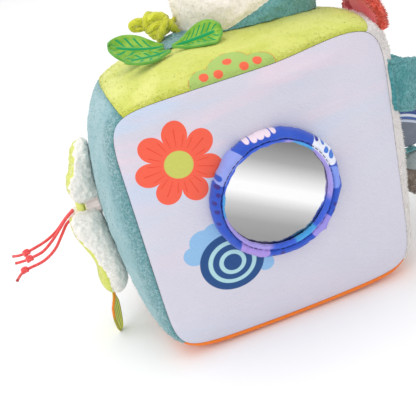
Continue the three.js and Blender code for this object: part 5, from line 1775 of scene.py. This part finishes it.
def makeStudio():
    side = np.array([[-1, -1], [1, -1], [1, 1], [-1, 1]]) * studio["floorReach"]
    corners = np.concatenate([side, np.full((4, 1), studio["floorHeight"])], 1)
    floor = makeMesh("studioFloor", corners, [np.array([[0, 1, 2, 3]])], closed=False)
    s = Shader("floorPaper")
    paper = s.mix(s.noise(3, 2), studio["floorDark"], studio["floor"])
    s.principled(paper, 0.9, None, Specular_IOR_Level=0.1)
    floor.data.materials.append(s.material)
    world = bpy.data.worlds.new("studioSky")
    scene.world = world
    world.use_nodes = True
    sky = world.node_tree.nodes["Background"]
    sky.inputs["Color"].default_value = (1, 1, 1, 1)
    sky.inputs["Strength"].default_value = studio["sky"]
    for lamp in studio["lamps"]:
        light = bpy.data.lights.new(lamp["name"], "AREA")
        light.shape = "DISK"
        light.size = lamp["size"]
        light.energy = lamp["watts"]
        away = unit(np.array(lamp["place"]) - studio["aim"])
        side = unit(np.cross([0, 0, 1], away))
        hang(lamp["name"], light, (side, np.cross(away, side), away), lamp["place"])
    scene.view_settings.view_transform = "Standard"
    scene.view_settings.look = "None"


# Making: the cords first, then the block, then what is sewn to it

topCrown = float(topHeight(0, 0))
coralCord = cordFinish()
for number in stamens["routes"]:
    makeStamen(number, coralCord)

tealPile = pileFinish("tealPile", "b4d6d9", "9cc8cc", "76b1b5")
creamPile = pileFinish("creamPile", "fffdf8", "f8f3ea", "ece5da")
limePile = pileFinish("limePile", "e2e68a", "d4da6c", "c8cf5c")
tealPlush = velour("tealVelour", "9dbdc2", "8bb3b9", "2f7f84", bandReach=9)
strapPlush = velour("strapVelour", "78b2b5", "559a9e", "27767a", bandReach=400)
strapPile = pileFinish("strapPile", "a8d6d8", "5fa4a7", "2a767b")

makeCore(foamFinish())
print("core made")
sides = {}
for name, material in (
        ("right_panel", plainPlush("sidePlush", "dcd7d6", "c5bfbd")),
        ("top_panel", velour("limeVelour", "dfe086", "cdd266", "c0c63c", bandReach=3, prints=printTop)),
        ("left_panel", tealPlush),
        ("bottom_panel", wovenFinish("orangeCotton", "fb8a2c", "f0741a"))):
    sides[name] = makeSidePanel(name, material)
makeFacePanel("front_panel", satin("lilacSatin", printFront))
makeFacePanel("back_panel", wovenFinish("blueCotton", "3f63c4", "3456b0"))
print("panels made")

for name, pileMaterial, nap in (("right_panel", creamPile, fleece), ("top_panel", limePile, velvet),
                                ("left_panel", tealPile, velvet)):
    grid, normal, place = sides[name]
    # Thickest beside the seams, where the cut pile stands out
    weight = 0.3 + 2.0 * np.exp(-place[..., 2] / 2.5)
    if name == "right_panel":
        isBySeam, isByStrap = np.abs(grid[..., 1]) > 44, np.abs(grid[..., 2] - 113) < 16
        isUnderStrap = isBySeam & isByStrap
        weight = (weight + 0.5) * ~isUnderStrap
    if name == "top_panel":
        weight = weight * bushMask(grid, place[..., 1])
    pile = pileMesh(name.replace("_panel", "Pile"), grid, normal, weight, nap, panels[name]["seed"], place)
    dress(pile, "block", panels[name]["slot"], pileMaterial)
print("pile made")

makeRing(ringFinish())
for name, material in (("mirror_disc", mirrorFinish()), ("mirror_backing", feltFinish())):
    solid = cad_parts[name]
    solid.data.materials.clear()
    solid.data.materials.append(material)
print("mirror made")

for name, leaf in leaves.items():
    finish = leafFinish(name.replace("leaf_", "leafPrint"), leaf["length"], leaf["half"], leaf["veins"])
    makeLeaf(name, finish)
makeTab(tealPlush)
makeCushion(splitPlush("cushionPlush", "7db4b8", "578f95", "fff7f0", "f6eae2", 0.0), creamPile, strapPile)
makeJersey(jerseyFinish())
print("top made")

petalPlush = splitPlush("petalPlush", "fbf8f2", "e8e2d9", "e2e678", "cdd45c", 5.5)
for name in petals:
    makePetal(name, petalPlush, creamPile, limePile)
makeFlowerHeart(neckFinish(), velour("buttonVelour", "ecf08e", "e0e57a", "c8cf58"))
makeLeafTag(leafTagFinish())
print("flower made")

makeStrap(strapPlush, strapPile)
coralPile = pileFinish("coralPile", "f67a62", "ea5844", "c23a30")
makeFlap(liningFinish(), plainPlush("coralBoucle", "f4705a", "d94a3a"), coralPile)
makeRibbon(ribbonFinish())
taupePile = pileFinish("taupePile", "ab9e93", "8b7d72", "665a50")
makePod(velour("podVelour", "b4bebe", "98a5a6", "748486", bandReach=4),
        pileFinish("podPile", "bcc6c6", "9faaab", "7d8a8c"),
        plainPlush("taupeBoucle", "a2958a", "7d7066"), taupePile)
makePodTab(strapPlush)
print("right side made")

makeStudio()
print("studio made")
